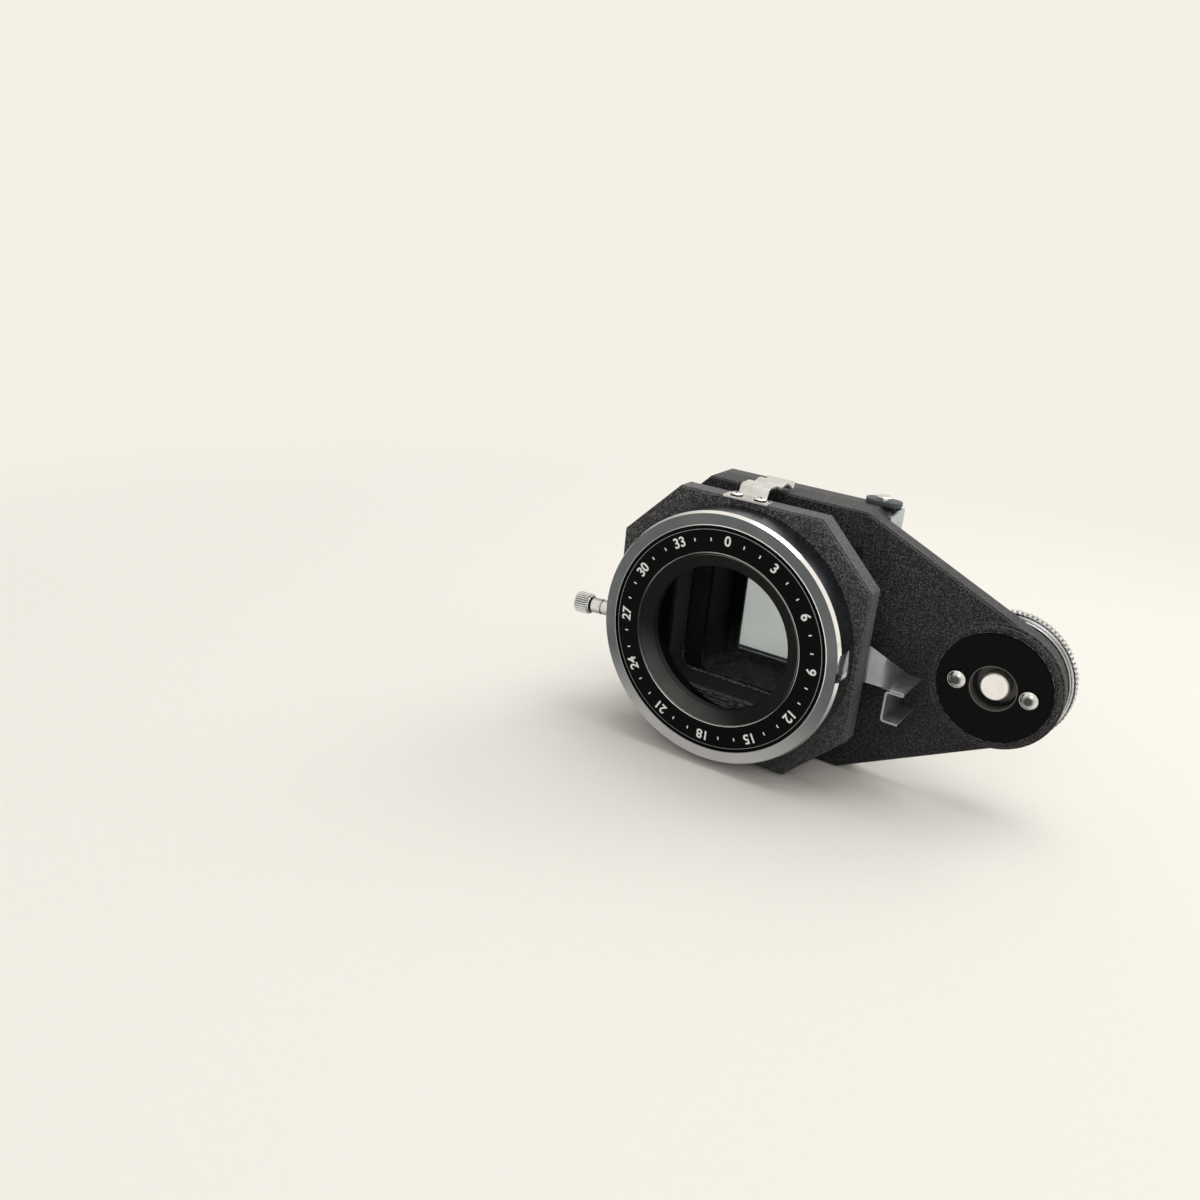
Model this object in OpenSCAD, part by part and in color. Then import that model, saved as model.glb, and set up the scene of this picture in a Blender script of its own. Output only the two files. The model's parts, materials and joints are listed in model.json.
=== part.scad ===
// Slide duplicator attachment: collapsible bellows head on a side arm that screws to a copying rail.
// Millimetres. Origin: centre of the lens seat, on the front face. +Y runs back along the optical
// axis, +X out along the arm, +Z up. At rest the bellows is closed and the top latch is down.

/* [Clamp ring and lens adapter] */
// Outside diameter of the chrome clamp ring
clamp_ring_d = 67; // [66:0.5:68]
// Bore of the clamp ring, which the lens adapter slips into
clamp_bore_d = 60; // [59:0.5:61]
// Length of the clamp ring in front of the lens board
clamp_ring_len = 9; // [8:0.5:10]
// Diameter of the lens seat in the adapter's front face
lens_seat_d = 45.8; // [44:0.2:48]
// Depth of the lens seat
lens_seat_depth = 0.7; // [0.5:0.1:0.9]
// Clear opening of the adapter
clear_opening_d = 38.4; // [36:0.2:40]

/* [Lens board] */
// Width across the flats of the eight-sided lens board
board_size = 70; // [69:0.5:72]
// Length taken off each corner of the board, along its edge
board_corner = 15.2; // [14:0.2:16.5]
// Thickness of the lens board
board_thick = 5.8; // [5:0.2:6.6]

/* [Bellows] */
// Depth of the closed bellows between its two frames
bellows_closed = 8.6; // [8:0.2:10]
// Number of folds in the bellows
fold_count = 4; // [3:1:5]
// Width outside the folds
fold_outer = 50; // [49:0.5:51]
// Radial depth of one fold
fold_depth = 3.8; // [3:0.2:4]
// Thickness of the bellows cloth
cloth_thick = 0.4; // [0.3:0.05:0.5]

/* [Arm and head castings] */
// Height of the head casting above the optical axis
head_top = 34.8; // [34:0.2:35.6]
// Depth of the arm casting, front to back
arm_thick = 5.4; // [5:0.2:6]
// Depth of the whole head, from the front of the arm casting to the back of the rear cover
head_depth = 13.3; // [12.7:0.2:14.5]
// Distance from the optical axis to the rail screw
arm_reach = 64; // [62:0.5:68]
// Radius of the round end of the arm
arm_end_r = 15.6; // [15:0.2:16.4]
// Wall thickness of the castings
cast_wall = 3; // [2.4:0.2:3.4]

/* [Rail mount] */
// Diameter of the glossy mounting pad
pad_d = 28.3; // [27:0.2:29]
// Diameter of the hole in the middle of the pad
pad_hole_d = 11.2; // [10.4:0.2:12]
// Distance between the two guide pins
pin_pitch = 17.4; // [16.6:0.2:18.6]
// Diameter of each guide pin
pin_d = 4.4; // [4:0.1:4.6]
// Height of the guide pins in front of the pad
pin_height = 1.9; // [1.4:0.1:2.6]
// Diameter of the rail screw
rail_screw_d = 7.2; // [6.8:0.1:7.6]
// Diameter over the knurl of the rail knob
knob_d = 34.3; // [33:0.2:36]
// Length of the rail knob
knob_len = 4.9; // [4.5:0.1:5.6]
// Number of knurl ridges round the rail knob
knob_ridges = 84; // [60:4:96]

/* [Picture gate and slide holder] */
// Width of the picture window
window_w = 24; // [22:0.5:26]
// Height of the picture window
window_h = 36; // [34:0.5:38]
// Side of the square slide mount that the holder takes
slide_size = 50; // [49.5:0.1:50.5]
// Depth of the slide pocket
slide_pocket = 2.6; // [2.2:0.1:3]
// Side of the opal glass
glass_size = 44; // [42:0.5:46]
// Thickness of the opal glass
glass_thick = 2; // [1.6:0.1:2.4]

/* [Latch and catch] */
// Thickness of the latch's spring strip
latch_thick = 0.6; // [0.5:0.05:0.7]
// Width of the latch's strip
latch_w = 7.9; // [7:0.1:9]
// Width of the latch's foot
latch_foot_w = 12.2; // [11:0.2:14]
// Thickness of the side catch
catch_thick = 0.55; // [0.5:0.05:0.6]

/* [Hidden] */
$fn = 96;
// running fit, open gap, gap between two faces that touch, overlap that joins two solids of one
// piece, and step of a bend
run_fit = 0.05;
gap = 0.3;
face_gap = 0.02;
weld = 0.02;
bend_step = 6;
edge = 0.6;
// stations along the optical axis, front to back
board_y = clamp_ring_len;
board_back = board_y + board_thick;
frame_t = 1;
bellows_y = board_back + frame_t;
frame_y = bellows_y + bellows_closed;
plate_y = frame_y + frame_t;
arm_back = plate_y + arm_thick;
cover_depth = 4.7;
cover_y = plate_y + head_depth - cover_depth;
head_back = plate_y + head_depth;
sleeve_end = head_back + 2;
mask_t = 1;
sheet_t = 0.8;
channel_y = sleeve_end + mask_t;
holder_y = channel_y + sheet_t;
holder_rear_wall = 1.2;
holder_back = holder_y + slide_pocket + holder_rear_wall;
door_y = holder_back + gap;
door_t = 4;
// clamp ring and adapter
clamp_r = clamp_ring_d / 2;
clamp_bore_r = clamp_bore_d / 2;
ring_bevel_w = 0.5;
ring_bevel_l = 1.2;
ring_seat_len = clamp_ring_len - 2;
spigot_r = clamp_bore_r - 3;
spigot_bore_r = spigot_r - 2.5;
spigot_len = board_thick - 0.2;
nut_r = spigot_r + 2;
nut_t = 1.6;
nut_pocket = nut_t + 0.5;
nut_notch = 2.4;
flat_depth = 0.7;
flat_len = 6.2;
adapter_r = clamp_bore_r - run_fit;
adapter_len = ring_seat_len - 0.2;
adapter_groove = 0.7;
adapter_groove_w = 4.4;
seat_r = lens_seat_d / 2;
opening_r = clear_opening_d / 2;
adapter_lip = 2;
adapter_cone = 1.3;
rim_step_w = 0.9;
rim_step_l = 0.6;
// clamp screw
clamp_angle = 183.6;
clamp_y = 4.4;
clamp_head_d = 4.9;
clamp_head_l = 5.2;
clamp_neck_d = 4.2;
clamp_neck_l = 7.4;
clamp_shank_d = 2.4;
clamp_ridges = 20;
// board and frames
board_h = board_size / 2;
frame_outer = fold_outer + 1;
frame_inner = fold_outer - 2 * fold_depth - 0.4;
fold_cut_in = 2.4;
fold_cut_out = 4;
// half the cloth, measured outwards, so that the sloping walls keep its thickness
fold_run = bellows_closed / (2 * fold_count);
cloth_reach = cloth_thick / 2 / sin(atan(fold_run / (fold_depth - cloth_thick * 2.4)));
frame_corner = 3;
frame_screw_at = frame_outer / 2 - 2.9;
frame_screw_d = 2;
frame_shank_d = 1.4;
frame_head_h = 0.4;
frame_shank_l = 2;
// slide pocket, and the width of the head's rear that follows from it
slide_fit = 0.4;
pocket_half = slide_size / 2 + slide_fit;
cover_half = pocket_half + 3.1;
// castings
opening_w = 32;
opening_h = 42.4;
opening_corner = 3;
head_left = 35;
head_left_chamfer = 15.2;
head_right = 24.8;
foot_right = cover_half;
foot_drop = 35.8;
boss_r = arm_end_r + 0.6;
boss_y = plate_y - 1;
boss_edge = 0.7;
cover_rim = 2.5;
cover_plate = 2.2;
cover_edge = 0.4;
cover_screw_sink = 1.6;
post_d = 6.4;
post_at_x = cover_half - 5.3;
post_at_z = head_top - 8.2;
cover_screw_d = 4.4;
cover_shank_d = 2.2;
cover_head_h = 1.4;
cover_shank_l = 7;
// light sleeve
sleeve_t = 0.6;
sleeve_w = opening_w - 0.6;
sleeve_h = opening_h - 0.6;
// rail mount
pad_y = plate_y - 2;
pad_t = 2.5;
pad_seat = 1.5;
pin_seat = 0.08;
pin_shank_d = pin_d - 1.4;
pin_root = 2.4;
arm_bore_depth = 3.2;
screw_tip_y = plate_y - 0.8;
clip_t = 0.6;
washer_t = 0.5;
washer_r = 9.5;
knob_y = arm_back + washer_t + 0.1;
knob_flange_r = 16.3;
knob_flange_t = 1.4;
knob_hub_r = 7.5;
knob_screw_d = 6.2;
knob_shank_d = 2.4;
knob_sink = 1.6;
// slide holder and door
holder_side = 3.4;
holder_floor = 3.6;
holder_half = pocket_half + holder_side;
holder_light = 19;
lug_x = 24.8;
lug_y = 37.4;
lug_l = 10.2;
lug_w = 5;
lug_t = 2.1;
lug_screw_y = lug_y - 0.4;
lug_screw_d = 4.2;
lug_screw_h = 1;
lug_shank_l = 1.9;
lug_tail = 5;
lug_tail_t = 1.2;
lug_shank_d = 2.2;
holder_low = -pocket_half - holder_floor;
holder_high = pocket_half + 1.2;
holder_screw_d = 3;
holder_shank_d = 1.8;
holder_screw_l = 4;
holder_screw_x = pocket_half + 0.9;
holder_screw_low = holder_low + holder_shank_d;
holder_screw_high = holder_high - 4.6;
thumb_d = 22;
pocket_open = 20;
spring_x = pocket_half - 3.4;
spring_w = 3;
spring_t = 0.2;
spring_low = -pocket_half + 5.4;
spring_end = 5;
spring_run = 11;
spring_rivet_d = 1.6;
spring_seat_y = holder_y + slide_pocket - face_gap;
flange_x = cover_half + sheet_t / 2;
flange_half = 3.8 - holder_screw_low;
flange_top = head_top - 1.2;
mask_half_w = holder_screw_x - holder_screw_d / 2 - 0.8;
mask_half_h = window_h / 2 + 7;
glass_fit = 0.2;
glass_ledge = 2.5;
door_rim = 2.4;
door_half = glass_size / 2 + glass_fit + door_rim;
door_light = glass_size / 2 - glass_ledge;
knuckle_r = 1.9;
hinge_x = door_half + 0.9 + knuckle_r;
hinge_y = door_y + knuckle_r;
door_pin_r = 1;
knuckle_len = 8;
hinge_span = 17;
glass_lip = 1;
glass_clip_w = 12;
glass_clip_h = 5;
glass_clip_r = 1;
glass_clip_t = 0.4;
clip_over = 0.5;
finger_d = 10;
door_catch_t = 0.5;
door_catch_w = 8;
door_catch_z = 8;
catch_screw_y = holder_back - 1.9;
catch_shank_d = 1.6;
// sheet flange screws on the head's sides
channel_screw_z = 14;
channel_screw_d = 3.4;
channel_shank_d = 2;
channel_shank_l = 3;
channel_head_h = 1.1;

// ---- general shapes ----

// Flat shape drawn in X and Z, given a depth along Y from y0 backwards
module slab(y0, depth) {
    translate([0, y0 + depth, 0])
        rotate([90, 0, 0])
            linear_extrude(height = depth)
                children();
}

// Profile of radius and Y, turned about the optical axis
module turned() {
    rotate([-90, 0, 0])
        rotate_extrude()
            children();
}

// Round bar along Y
module bar_y(d, y0, len) {
    translate([0, y0, 0])
        rotate([-90, 0, 0])
            cylinder(d = d, h = len);
}

// Rectangle with rounded corners, in the plane
module round_rect(w, h, r) {
    union() {
        square([w - 2 * r, h], center = true);
        square([w, h - 2 * r], center = true);
        for (sx = [-1, 1], sz = [-1, 1])
            translate([sx * (w / 2 - r), sz * (h / 2 - r)])
                circle(r = r);
    }
}

// Eight-sided outline: a square with its corners cut
module octagon(half, cut) {
    polygon([
        [-half, half - cut], [-half + cut, half], [half - cut, half], [half, half - cut],
        [half, -half + cut], [half - cut, -half], [-half + cut, -half], [-half, -half + cut]
    ]);
}

// Ridged disc for a straight knurl: an even star with 2 x ridges points
module knurl_disc(r, depth, ridges) {
    polygon([
        for (i = [0 : 2 * ridges - 1])
            (r - (i % 2) * depth) * [cos(180 * i / ridges), sin(180 * i / ridges)]
    ]);
}

// Middle line of a folded sheet as points and headings [x, z, angle]. Each step is
// [straight length, bend in degrees (up is positive), bend radius]; the last step is straight.
function sheet_line(steps, i = 0, at = [0, 0, 0]) = i == len(steps) ? [] : let (
    bend = steps[i][1],
    reach = sign(bend) * steps[i][2],
    x = at[0] + steps[i][0] * cos(at[2]),
    z = at[1] + steps[i][0] * sin(at[2]),
    parts = max(1, ceil(abs(bend) / bend_step)),
    arc = [for (k = [0 : parts])
        let (turn = at[2] + bend * k / parts)
        [x + reach * (sin(turn) - sin(at[2])), z - reach * (cos(turn) - cos(at[2])), turn]]
) concat(
    [at],
    bend == 0 ? [arc[0]] : [for (k = [0 : parts - 1]) arc[k]],
    sheet_line(steps, i + 1, arc[parts])
);

// Folded sheet: heads along +X, bends in the XZ plane, and has its width along +Y
module folded_sheet(steps, t, w) {
    line = sheet_line(steps);
    last = len(line) - 1;
    translate([0, w, 0])
        rotate([90, 0, 0])
            linear_extrude(height = w)
                polygon(concat(
                    [for (p = line) [p[0] - t / 2 * sin(p[2]), p[1] + t / 2 * cos(p[2])]],
                    [for (k = [0 : last])
                        let (p = line[last - k])
                        [p[0] + t / 2 * sin(p[2]), p[1] - t / 2 * cos(p[2])]]
                ));
}

// Raised cross-recess screw: head on z = 0 upwards, shank downwards
module pan_screw(head_d, head_h, shank_d, shank_l) {
    recess = head_d * 0.24;
    difference() {
        union() {
            intersection() {
                cylinder(d = head_d, h = head_h);
                translate([0, 0, head_h - head_d * 0.8])
                    sphere(r = head_d * 0.8);
            }
            translate([0, 0, -shank_l])
                cylinder(d = shank_d, h = shank_l + weld);
        }
        for (a = [0, 90])
            rotate([0, 0, a])
                translate([-head_d * 0.3, -recess / 3, head_h * 0.45])
                    cube([head_d * 0.6, recess * 2 / 3, head_h]);
    }
}

// ---- front standard ----

module lens_ring() {
    color("silver")
        difference() {
            turned()
                polygon([
                    [clamp_bore_r, 0], [clamp_r - ring_bevel_w, 0], [clamp_r, ring_bevel_l],
                    [clamp_r, board_y], [spigot_r, board_y], [spigot_r, board_y + spigot_len],
                    [spigot_bore_r, board_y + spigot_len], [spigot_bore_r, ring_seat_len],
                    [clamp_bore_r, ring_seat_len]
                ]);
            clamp_frame()
                translate([0, 0, clamp_bore_r - 2])
                    cylinder(d = clamp_shank_d + 2 * run_fit, h = clamp_r);
            // wrench flat on the arm side of the barrel
            translate([clamp_r - flat_depth, -weld, -1])
                cube([flat_depth * 2, flat_len, 7]);
        }
}

module clamp_frame() {
    translate([0, clamp_y, 0])
        rotate([0, 90 - clamp_angle, 0])
            children();
}

module adapter_ring() {
    color("#1c1c1d")
        turned()
            polygon([
                [seat_r, lens_seat_depth], [seat_r, 0.15], [seat_r + 0.15, 0],
                [adapter_r - rim_step_w, 0], [adapter_r - rim_step_w, rim_step_l],
                [adapter_r, rim_step_l],
                [adapter_r, clamp_y - adapter_groove_w / 2],
                [adapter_r - adapter_groove, clamp_y - adapter_groove_w / 2 + adapter_groove],
                [adapter_r - adapter_groove, clamp_y + adapter_groove_w / 2 - adapter_groove],
                [adapter_r, clamp_y + adapter_groove_w / 2],
                [adapter_r, adapter_len], [spigot_bore_r - 1, adapter_len],
                [opening_r, lens_seat_depth + adapter_cone + adapter_lip],
                [opening_r, lens_seat_depth + adapter_cone]
            ]);
}

module ring_nut() {
    nut_y = board_back - nut_pocket + face_gap;
    color("#2a2a2b")
        difference() {
            turned()
                translate([spigot_r + run_fit / 2, nut_y])
                    square([nut_r - spigot_r - run_fit / 2, nut_t]);
            for (a = [45 : 90 : 315])
                rotate([0, a, 0])
                    translate([spigot_r - 1, nut_y + nut_t / 2, -nut_notch / 2])
                        cube([4, nut_t, nut_notch]);
        }
}

module clamp_screw() {
    neck = clamp_r + 0.2;
    color("silver")
        clamp_frame()
            union() {
                translate([0, 0, clamp_bore_r - adapter_groove + 0.15])
                    cylinder(d = clamp_shank_d, h = neck - clamp_bore_r + 1);
                translate([0, 0, neck])
                    cylinder(d = clamp_neck_d, h = clamp_neck_l - 0.8);
                translate([0, 0, neck + clamp_neck_l - 0.8 - weld])
                    cylinder(d = clamp_neck_d - 0.8, h = 0.8 + 2 * weld);
                translate([0, 0, neck + clamp_neck_l])
                    linear_extrude(height = clamp_head_l - 0.4)
                        knurl_disc(clamp_head_d / 2, 0.22, clamp_ridges);
                translate([0, 0, neck + clamp_neck_l + clamp_head_l - 0.4])
                    cylinder(d1 = clamp_head_d - 0.5, d2 = clamp_head_d - 1.3, h = 0.4);
            }
}

module lens_board() {
    color("#242424")
        difference() {
            union() {
                slab(board_y + edge, board_thick - edge)
                    octagon(board_h, board_corner);
                slab(board_y, edge + weld)
                    octagon(board_h - edge / 2, board_corner - edge / 4);
            }
            bar_y(2 * (spigot_r + run_fit), board_y - 1, board_thick + 2);
            bar_y(2 * nut_r + 0.6, board_back - nut_pocket, nut_pocket + 1);
            for (x = latch_screw_x())
                translate([x, latch_screw_y, board_h - latch_shank_l - 0.4])
                    cylinder(d = latch_shank_d + 2 * run_fit, h = latch_shank_l + 1);
            for (p = frame_corners())
                translate([p[0], 0, p[1]])
                    bar_y(frame_shank_d + 2 * run_fit, board_back - frame_shank_l - 0.4, 3);
            for (z = [-1, 1])
                translate([catch_root_x, 0, catch_root_z + z * catch_rivet_at])
                    bar_y(1.6, board_back - 1.6, 2);
        }
}

function frame_corners() = [for (sx = [-1, 1], sz = [-1, 1]) [sx * frame_screw_at, sz * frame_screw_at]];

module bellows_frame(y0) {
    slab(y0, frame_t)
        difference() {
            octagon(frame_outer / 2, frame_corner);
            round_rect(frame_inner, frame_inner, 2);
            for (p = frame_corners())
                translate(p)
                    circle(d = frame_shank_d + 2 * run_fit);
        }
}

module front_bellows_frame() {
    color("#2b2b2b")
        bellows_frame(board_back);
}

module rear_bellows_frame() {
    color("#2b2b2b")
        bellows_frame(frame_y);
}

module front_frame_screws() {
    color("#3a3a3a")
        for (p = frame_corners())
            translate([p[0], bellows_y, p[1]])
                rotate([-90, 0, 0])
                    union() {
                        cylinder(d = frame_screw_d, h = frame_head_h);
                        translate([0, 0, -frame_t - frame_shank_l])
                            cylinder(d = frame_shank_d, h = frame_t + frame_shank_l + weld);
                    }
}

module rear_frame_screws() {
    color("#3a3a3a")
        for (p = frame_corners())
            translate([p[0], frame_y, p[1]])
                rotate([90, 0, 0])
                    union() {
                        cylinder(d = frame_screw_d, h = frame_head_h);
                        translate([0, 0, -frame_t - frame_shank_l])
                            cylinder(d = frame_shank_d, h = frame_t + frame_shank_l + weld);
                    }
}

// Outline of one bellows crease: a square with cut corners, as eight points
function crease(half, cut, y) = [
    [-half, y, half - cut], [-half + cut, y, half], [half - cut, y, half], [half, y, half - cut],
    [half, y, -half + cut], [half - cut, y, -half], [-half + cut, y, -half], [-half, y, -half + cut]
];

// Skin of the bellows: every crease in turn, moved in or out by a little
function bellows_skin(out) = [
    for (i = [0 : 2 * fold_count])
        let (y = bellows_y + i * bellows_closed / (2 * fold_count))
        each i % 2 == 0
            ? crease(fold_outer / 2 - fold_depth + cloth_reach + out, fold_cut_in, y)
            : crease(fold_outer / 2 - cloth_reach + out, fold_cut_out, y)
];

module bellows() {
    n = 8;
    rows = 2 * fold_count + 1;
    inside = rows * n;
    last = (rows - 1) * n;
    color("#191919")
        polyhedron(
            points = concat(bellows_skin(cloth_reach), bellows_skin(-cloth_reach)),
            faces = concat(
                [for (r = [0 : rows - 2], k = [0 : n - 1])
                    let (a = r * n + k, b = r * n + (k + 1) % n)
                    each [[a, b, b + n], [a, b + n, a + n],
                          [inside + b, inside + a, inside + a + n],
                          [inside + b, inside + a + n, inside + b + n]]],
                [for (k = [0 : n - 1])
                    let (b = (k + 1) % n)
                    each [[b, k, inside + k], [b, inside + k, inside + b],
                          [last + k, last + b, inside + last + b],
                          [last + k, inside + last + b, inside + last + k]]]
            )
        );
}

// ---- latch and catch ----

latch_x = -1;
latch_foot_y = board_y - 0.4;
latch_foot_l = 4.5;
latch_base = board_h + latch_thick / 2 + face_gap;
latch_screw_d = 2.7;
latch_shank_d = 1.5;
latch_head_h = 0.8;
latch_shank_l = 3;
latch_screw_edge = 2.8;
latch_screw_y = latch_foot_y + latch_foot_l / 2 - 0.3;
// heights of the strip's run over the bellows: rise, crown, slope down and the upturned tip
latch_rise = 1.2;
latch_crown = 2.6;
latch_slope = 2.1;
latch_dip = 1.9;
latch_tip = 2.8;
latch_grip = 1.4;
function latch_screw_x() = [for (sx = [-1, 1]) latch_x + sx * (latch_foot_w / 2 - latch_screw_edge)];

module top_latch() {
    color("#d8d8d6")
        difference() {
            union() {
                translate([latch_x + latch_foot_w / 2, latch_foot_y, latch_base])
                    rotate([0, 0, 90])
                        folded_sheet([[latch_foot_l - 1, 0, 1]], latch_thick, latch_foot_w);
                translate([latch_x + latch_w / 2, latch_foot_y + latch_foot_l - 1 - weld, latch_base])
                    rotate([0, 0, 90])
                        folded_sheet([
                            [0.3, 70, 0.9], [latch_rise, -69, 1.3], [latch_crown, -20, 3],
                            [latch_slope, 33, 2], [latch_dip, -43.5, 3], [latch_tip, 102, 0.6],
                            [latch_grip, 0, 1]
                        ], latch_thick, latch_w);
            }
            for (x = latch_screw_x())
                translate([x, latch_screw_y, latch_base - 1])
                    cylinder(d = latch_shank_d + 0.3, h = 2);
        }
}

module latch_screws() {
    color("#c9c9c7")
        for (x = latch_screw_x())
            translate([x, latch_screw_y, latch_base + latch_thick / 2 + face_gap])
                rotate([0, 0, 25])
                    pan_screw(latch_screw_d, latch_head_h, latch_shank_d, latch_shank_l);
}

// The side catch is one sheet strip: upright root behind the board, a quarter twist, then a
// hemmed hook that opens away from the head
catch_root_x = 31.8;
catch_root_z = 0;
catch_rivet_at = 3.1;
catch_root_h = 9.6;
catch_bend_x = 42.9;
catch_hook_y = 12.2;
catch_hook_w = 12.6;
catch_hook_z = -3.7;
catch_lip = 3.2;
catch_web = 7.2;
catch_hem_r = catch_thick / 2 + 0.05;

module side_catch() {
    root_y = board_back + catch_thick / 2 + face_gap;
    steps = 10;
    x0 = board_h + 0.4;
    top = catch_root_z + catch_root_h / 2;
    t = catch_thick / 2;
    // the two long edges of the twisted strip, from its upright root to the flat hook
    function back_edge(s) = [x0 + s * (catch_bend_x - x0),
        root_y + s * (catch_hook_y + catch_hook_w - root_y),
        top + s * (catch_hook_z - top)];
    function front_edge(s) = [x0 + s * (catch_bend_x - x0),
        root_y + s * (catch_hook_y - root_y),
        top - catch_root_h + s * (catch_hook_z - top + catch_root_h)];
    function face_normal(s) = let (
        across = back_edge(s) - front_edge(s),
        along = back_edge(1) - back_edge(0) + front_edge(1) - front_edge(0),
        c = cross(along, across)) c / norm(c);
    strip = [
        for (i = [0 : steps])
            let (s = i / steps, nrm = face_normal(s))
            each [back_edge(s) + t * nrm, front_edge(s) + t * nrm,
                  front_edge(s) - t * nrm, back_edge(s) - t * nrm]
    ];
    last = 4 * steps;
    color("#b9bbbd")
        union() {
            difference() {
                translate([catch_root_x - 2.2, root_y - t, catch_root_z - catch_root_h / 2])
                    cube([x0 - catch_root_x + 2.2 + 0.3, catch_thick, catch_root_h]);
                for (z = [-1, 1])
                    translate([catch_root_x, 0, catch_root_z + z * catch_rivet_at])
                        bar_y(1.6, root_y - 1, 2);
            }
            polyhedron(
                points = strip,
                faces = concat(
                    [for (i = [0 : steps - 1], k = [0 : 3])
                        each [[4 * i + k, 4 * (i + 1) + (k + 1) % 4, 4 * i + (k + 1) % 4],
                              [4 * i + k, 4 * (i + 1) + k, 4 * (i + 1) + (k + 1) % 4]]],
                    [[1, 2, 3], [0, 1, 3]],
                    [[last + 2, last + 1, last], [last + 3, last + 2, last]]
                )
            );
            // hook: the lip is hemmed back under itself, then turns down and out again
            translate([catch_bend_x - 0.3, catch_hook_y, catch_hook_z])
                folded_sheet([
                    [catch_lip, -180, catch_hem_r], [catch_lip, 90, 0.7],
                    [catch_web - 1.4, 90, 0.7], [catch_lip - 0.2, 0, 1]
                ], catch_thick, catch_hook_w);
        }
}

module catch_rivets() {
    color("#9c9ea0")
        for (z = [-1, 1])
            translate([catch_root_x, board_back + catch_thick + 0.04, catch_root_z + z * catch_rivet_at])
                rotate([-90, 0, 0])
                    union() {
                        cylinder(d = 2.4, h = 0.5);
                        translate([0, 0, -catch_thick - 1.5])
                            cylinder(d = 1.5, h = catch_thick + 1.5 + weld);
                    }
}

// ---- castings ----

// Angle of the arm's straight side from a head corner to the round end
function arm_side_angle(x, z) = let (
    dx = arm_reach - x, dz = -z, span = norm([dx, dz])
) atan2(dz, dx) + asin(arm_end_r / span);

function tangent_point(x, z) = let (
    span = norm([arm_reach - x, z]), a = arm_side_angle(x, z),
    reach = sqrt(span * span - arm_end_r * arm_end_r)
) [x + reach * cos(a), z + reach * sin(a)];

// Front outline of the arm casting, shrunk by a small amount for its edge bevel
module plate_outline(shrink = 0) {
    up = tangent_point(head_right, head_top);
    low = tangent_point(foot_right, foot_drop);
    union() {
        polygon([
            [-head_left + shrink, head_top - head_left_chamfer - shrink / 2],
            [-head_left + head_left_chamfer + shrink / 2, head_top - shrink],
            [head_right - shrink / 3, head_top - shrink],
            [up[0] - shrink / 2, up[1] - shrink],
            [low[0] - shrink / 2, -low[1] + shrink],
            [foot_right - shrink / 3, -foot_drop + shrink],
            [-head_left + head_left_chamfer + shrink / 2, -foot_drop + shrink],
            [-head_left + shrink, -foot_drop + head_left_chamfer + shrink / 2]
        ]);
        translate([arm_reach, 0])
            circle(r = arm_end_r - shrink);
    }
}

// Outline of the head behind the arm, square cut on the arm side
module head_outline(inset = 0) {
    polygon([
        [-head_left + inset, head_top - head_left_chamfer - inset / 2],
        [-head_left + head_left_chamfer + inset / 2, head_top - inset],
        [head_right - inset / 2, head_top - inset],
        [cover_half - inset, head_top - (cover_half - head_right) - inset / 2],
        [cover_half - inset, -foot_drop + inset],
        [-head_left + head_left_chamfer + inset / 2, -foot_drop + inset],
        [-head_left + inset, -foot_drop + head_left_chamfer + inset / 2]
    ]);
}

module cover_outline(inset = 0) {
    cut = cover_half - (head_left - head_left_chamfer);
    polygon([
        [-cover_half + inset, head_top - cut - inset / 2],
        [-cover_half + cut + inset / 2, head_top - inset],
        [head_right - inset / 2, head_top - inset],
        [cover_half - inset, head_top - (cover_half - head_right) - inset / 2],
        [cover_half - inset, -foot_drop + inset],
        [-cover_half + cut + inset / 2, -foot_drop + inset],
        [-cover_half + inset, -foot_drop + cut + inset / 2]
    ]);
}

function post_points() = [for (sx = [-1, 1], sz = [-1, 1]) [sx * post_at_x, sz * post_at_z]];

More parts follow.
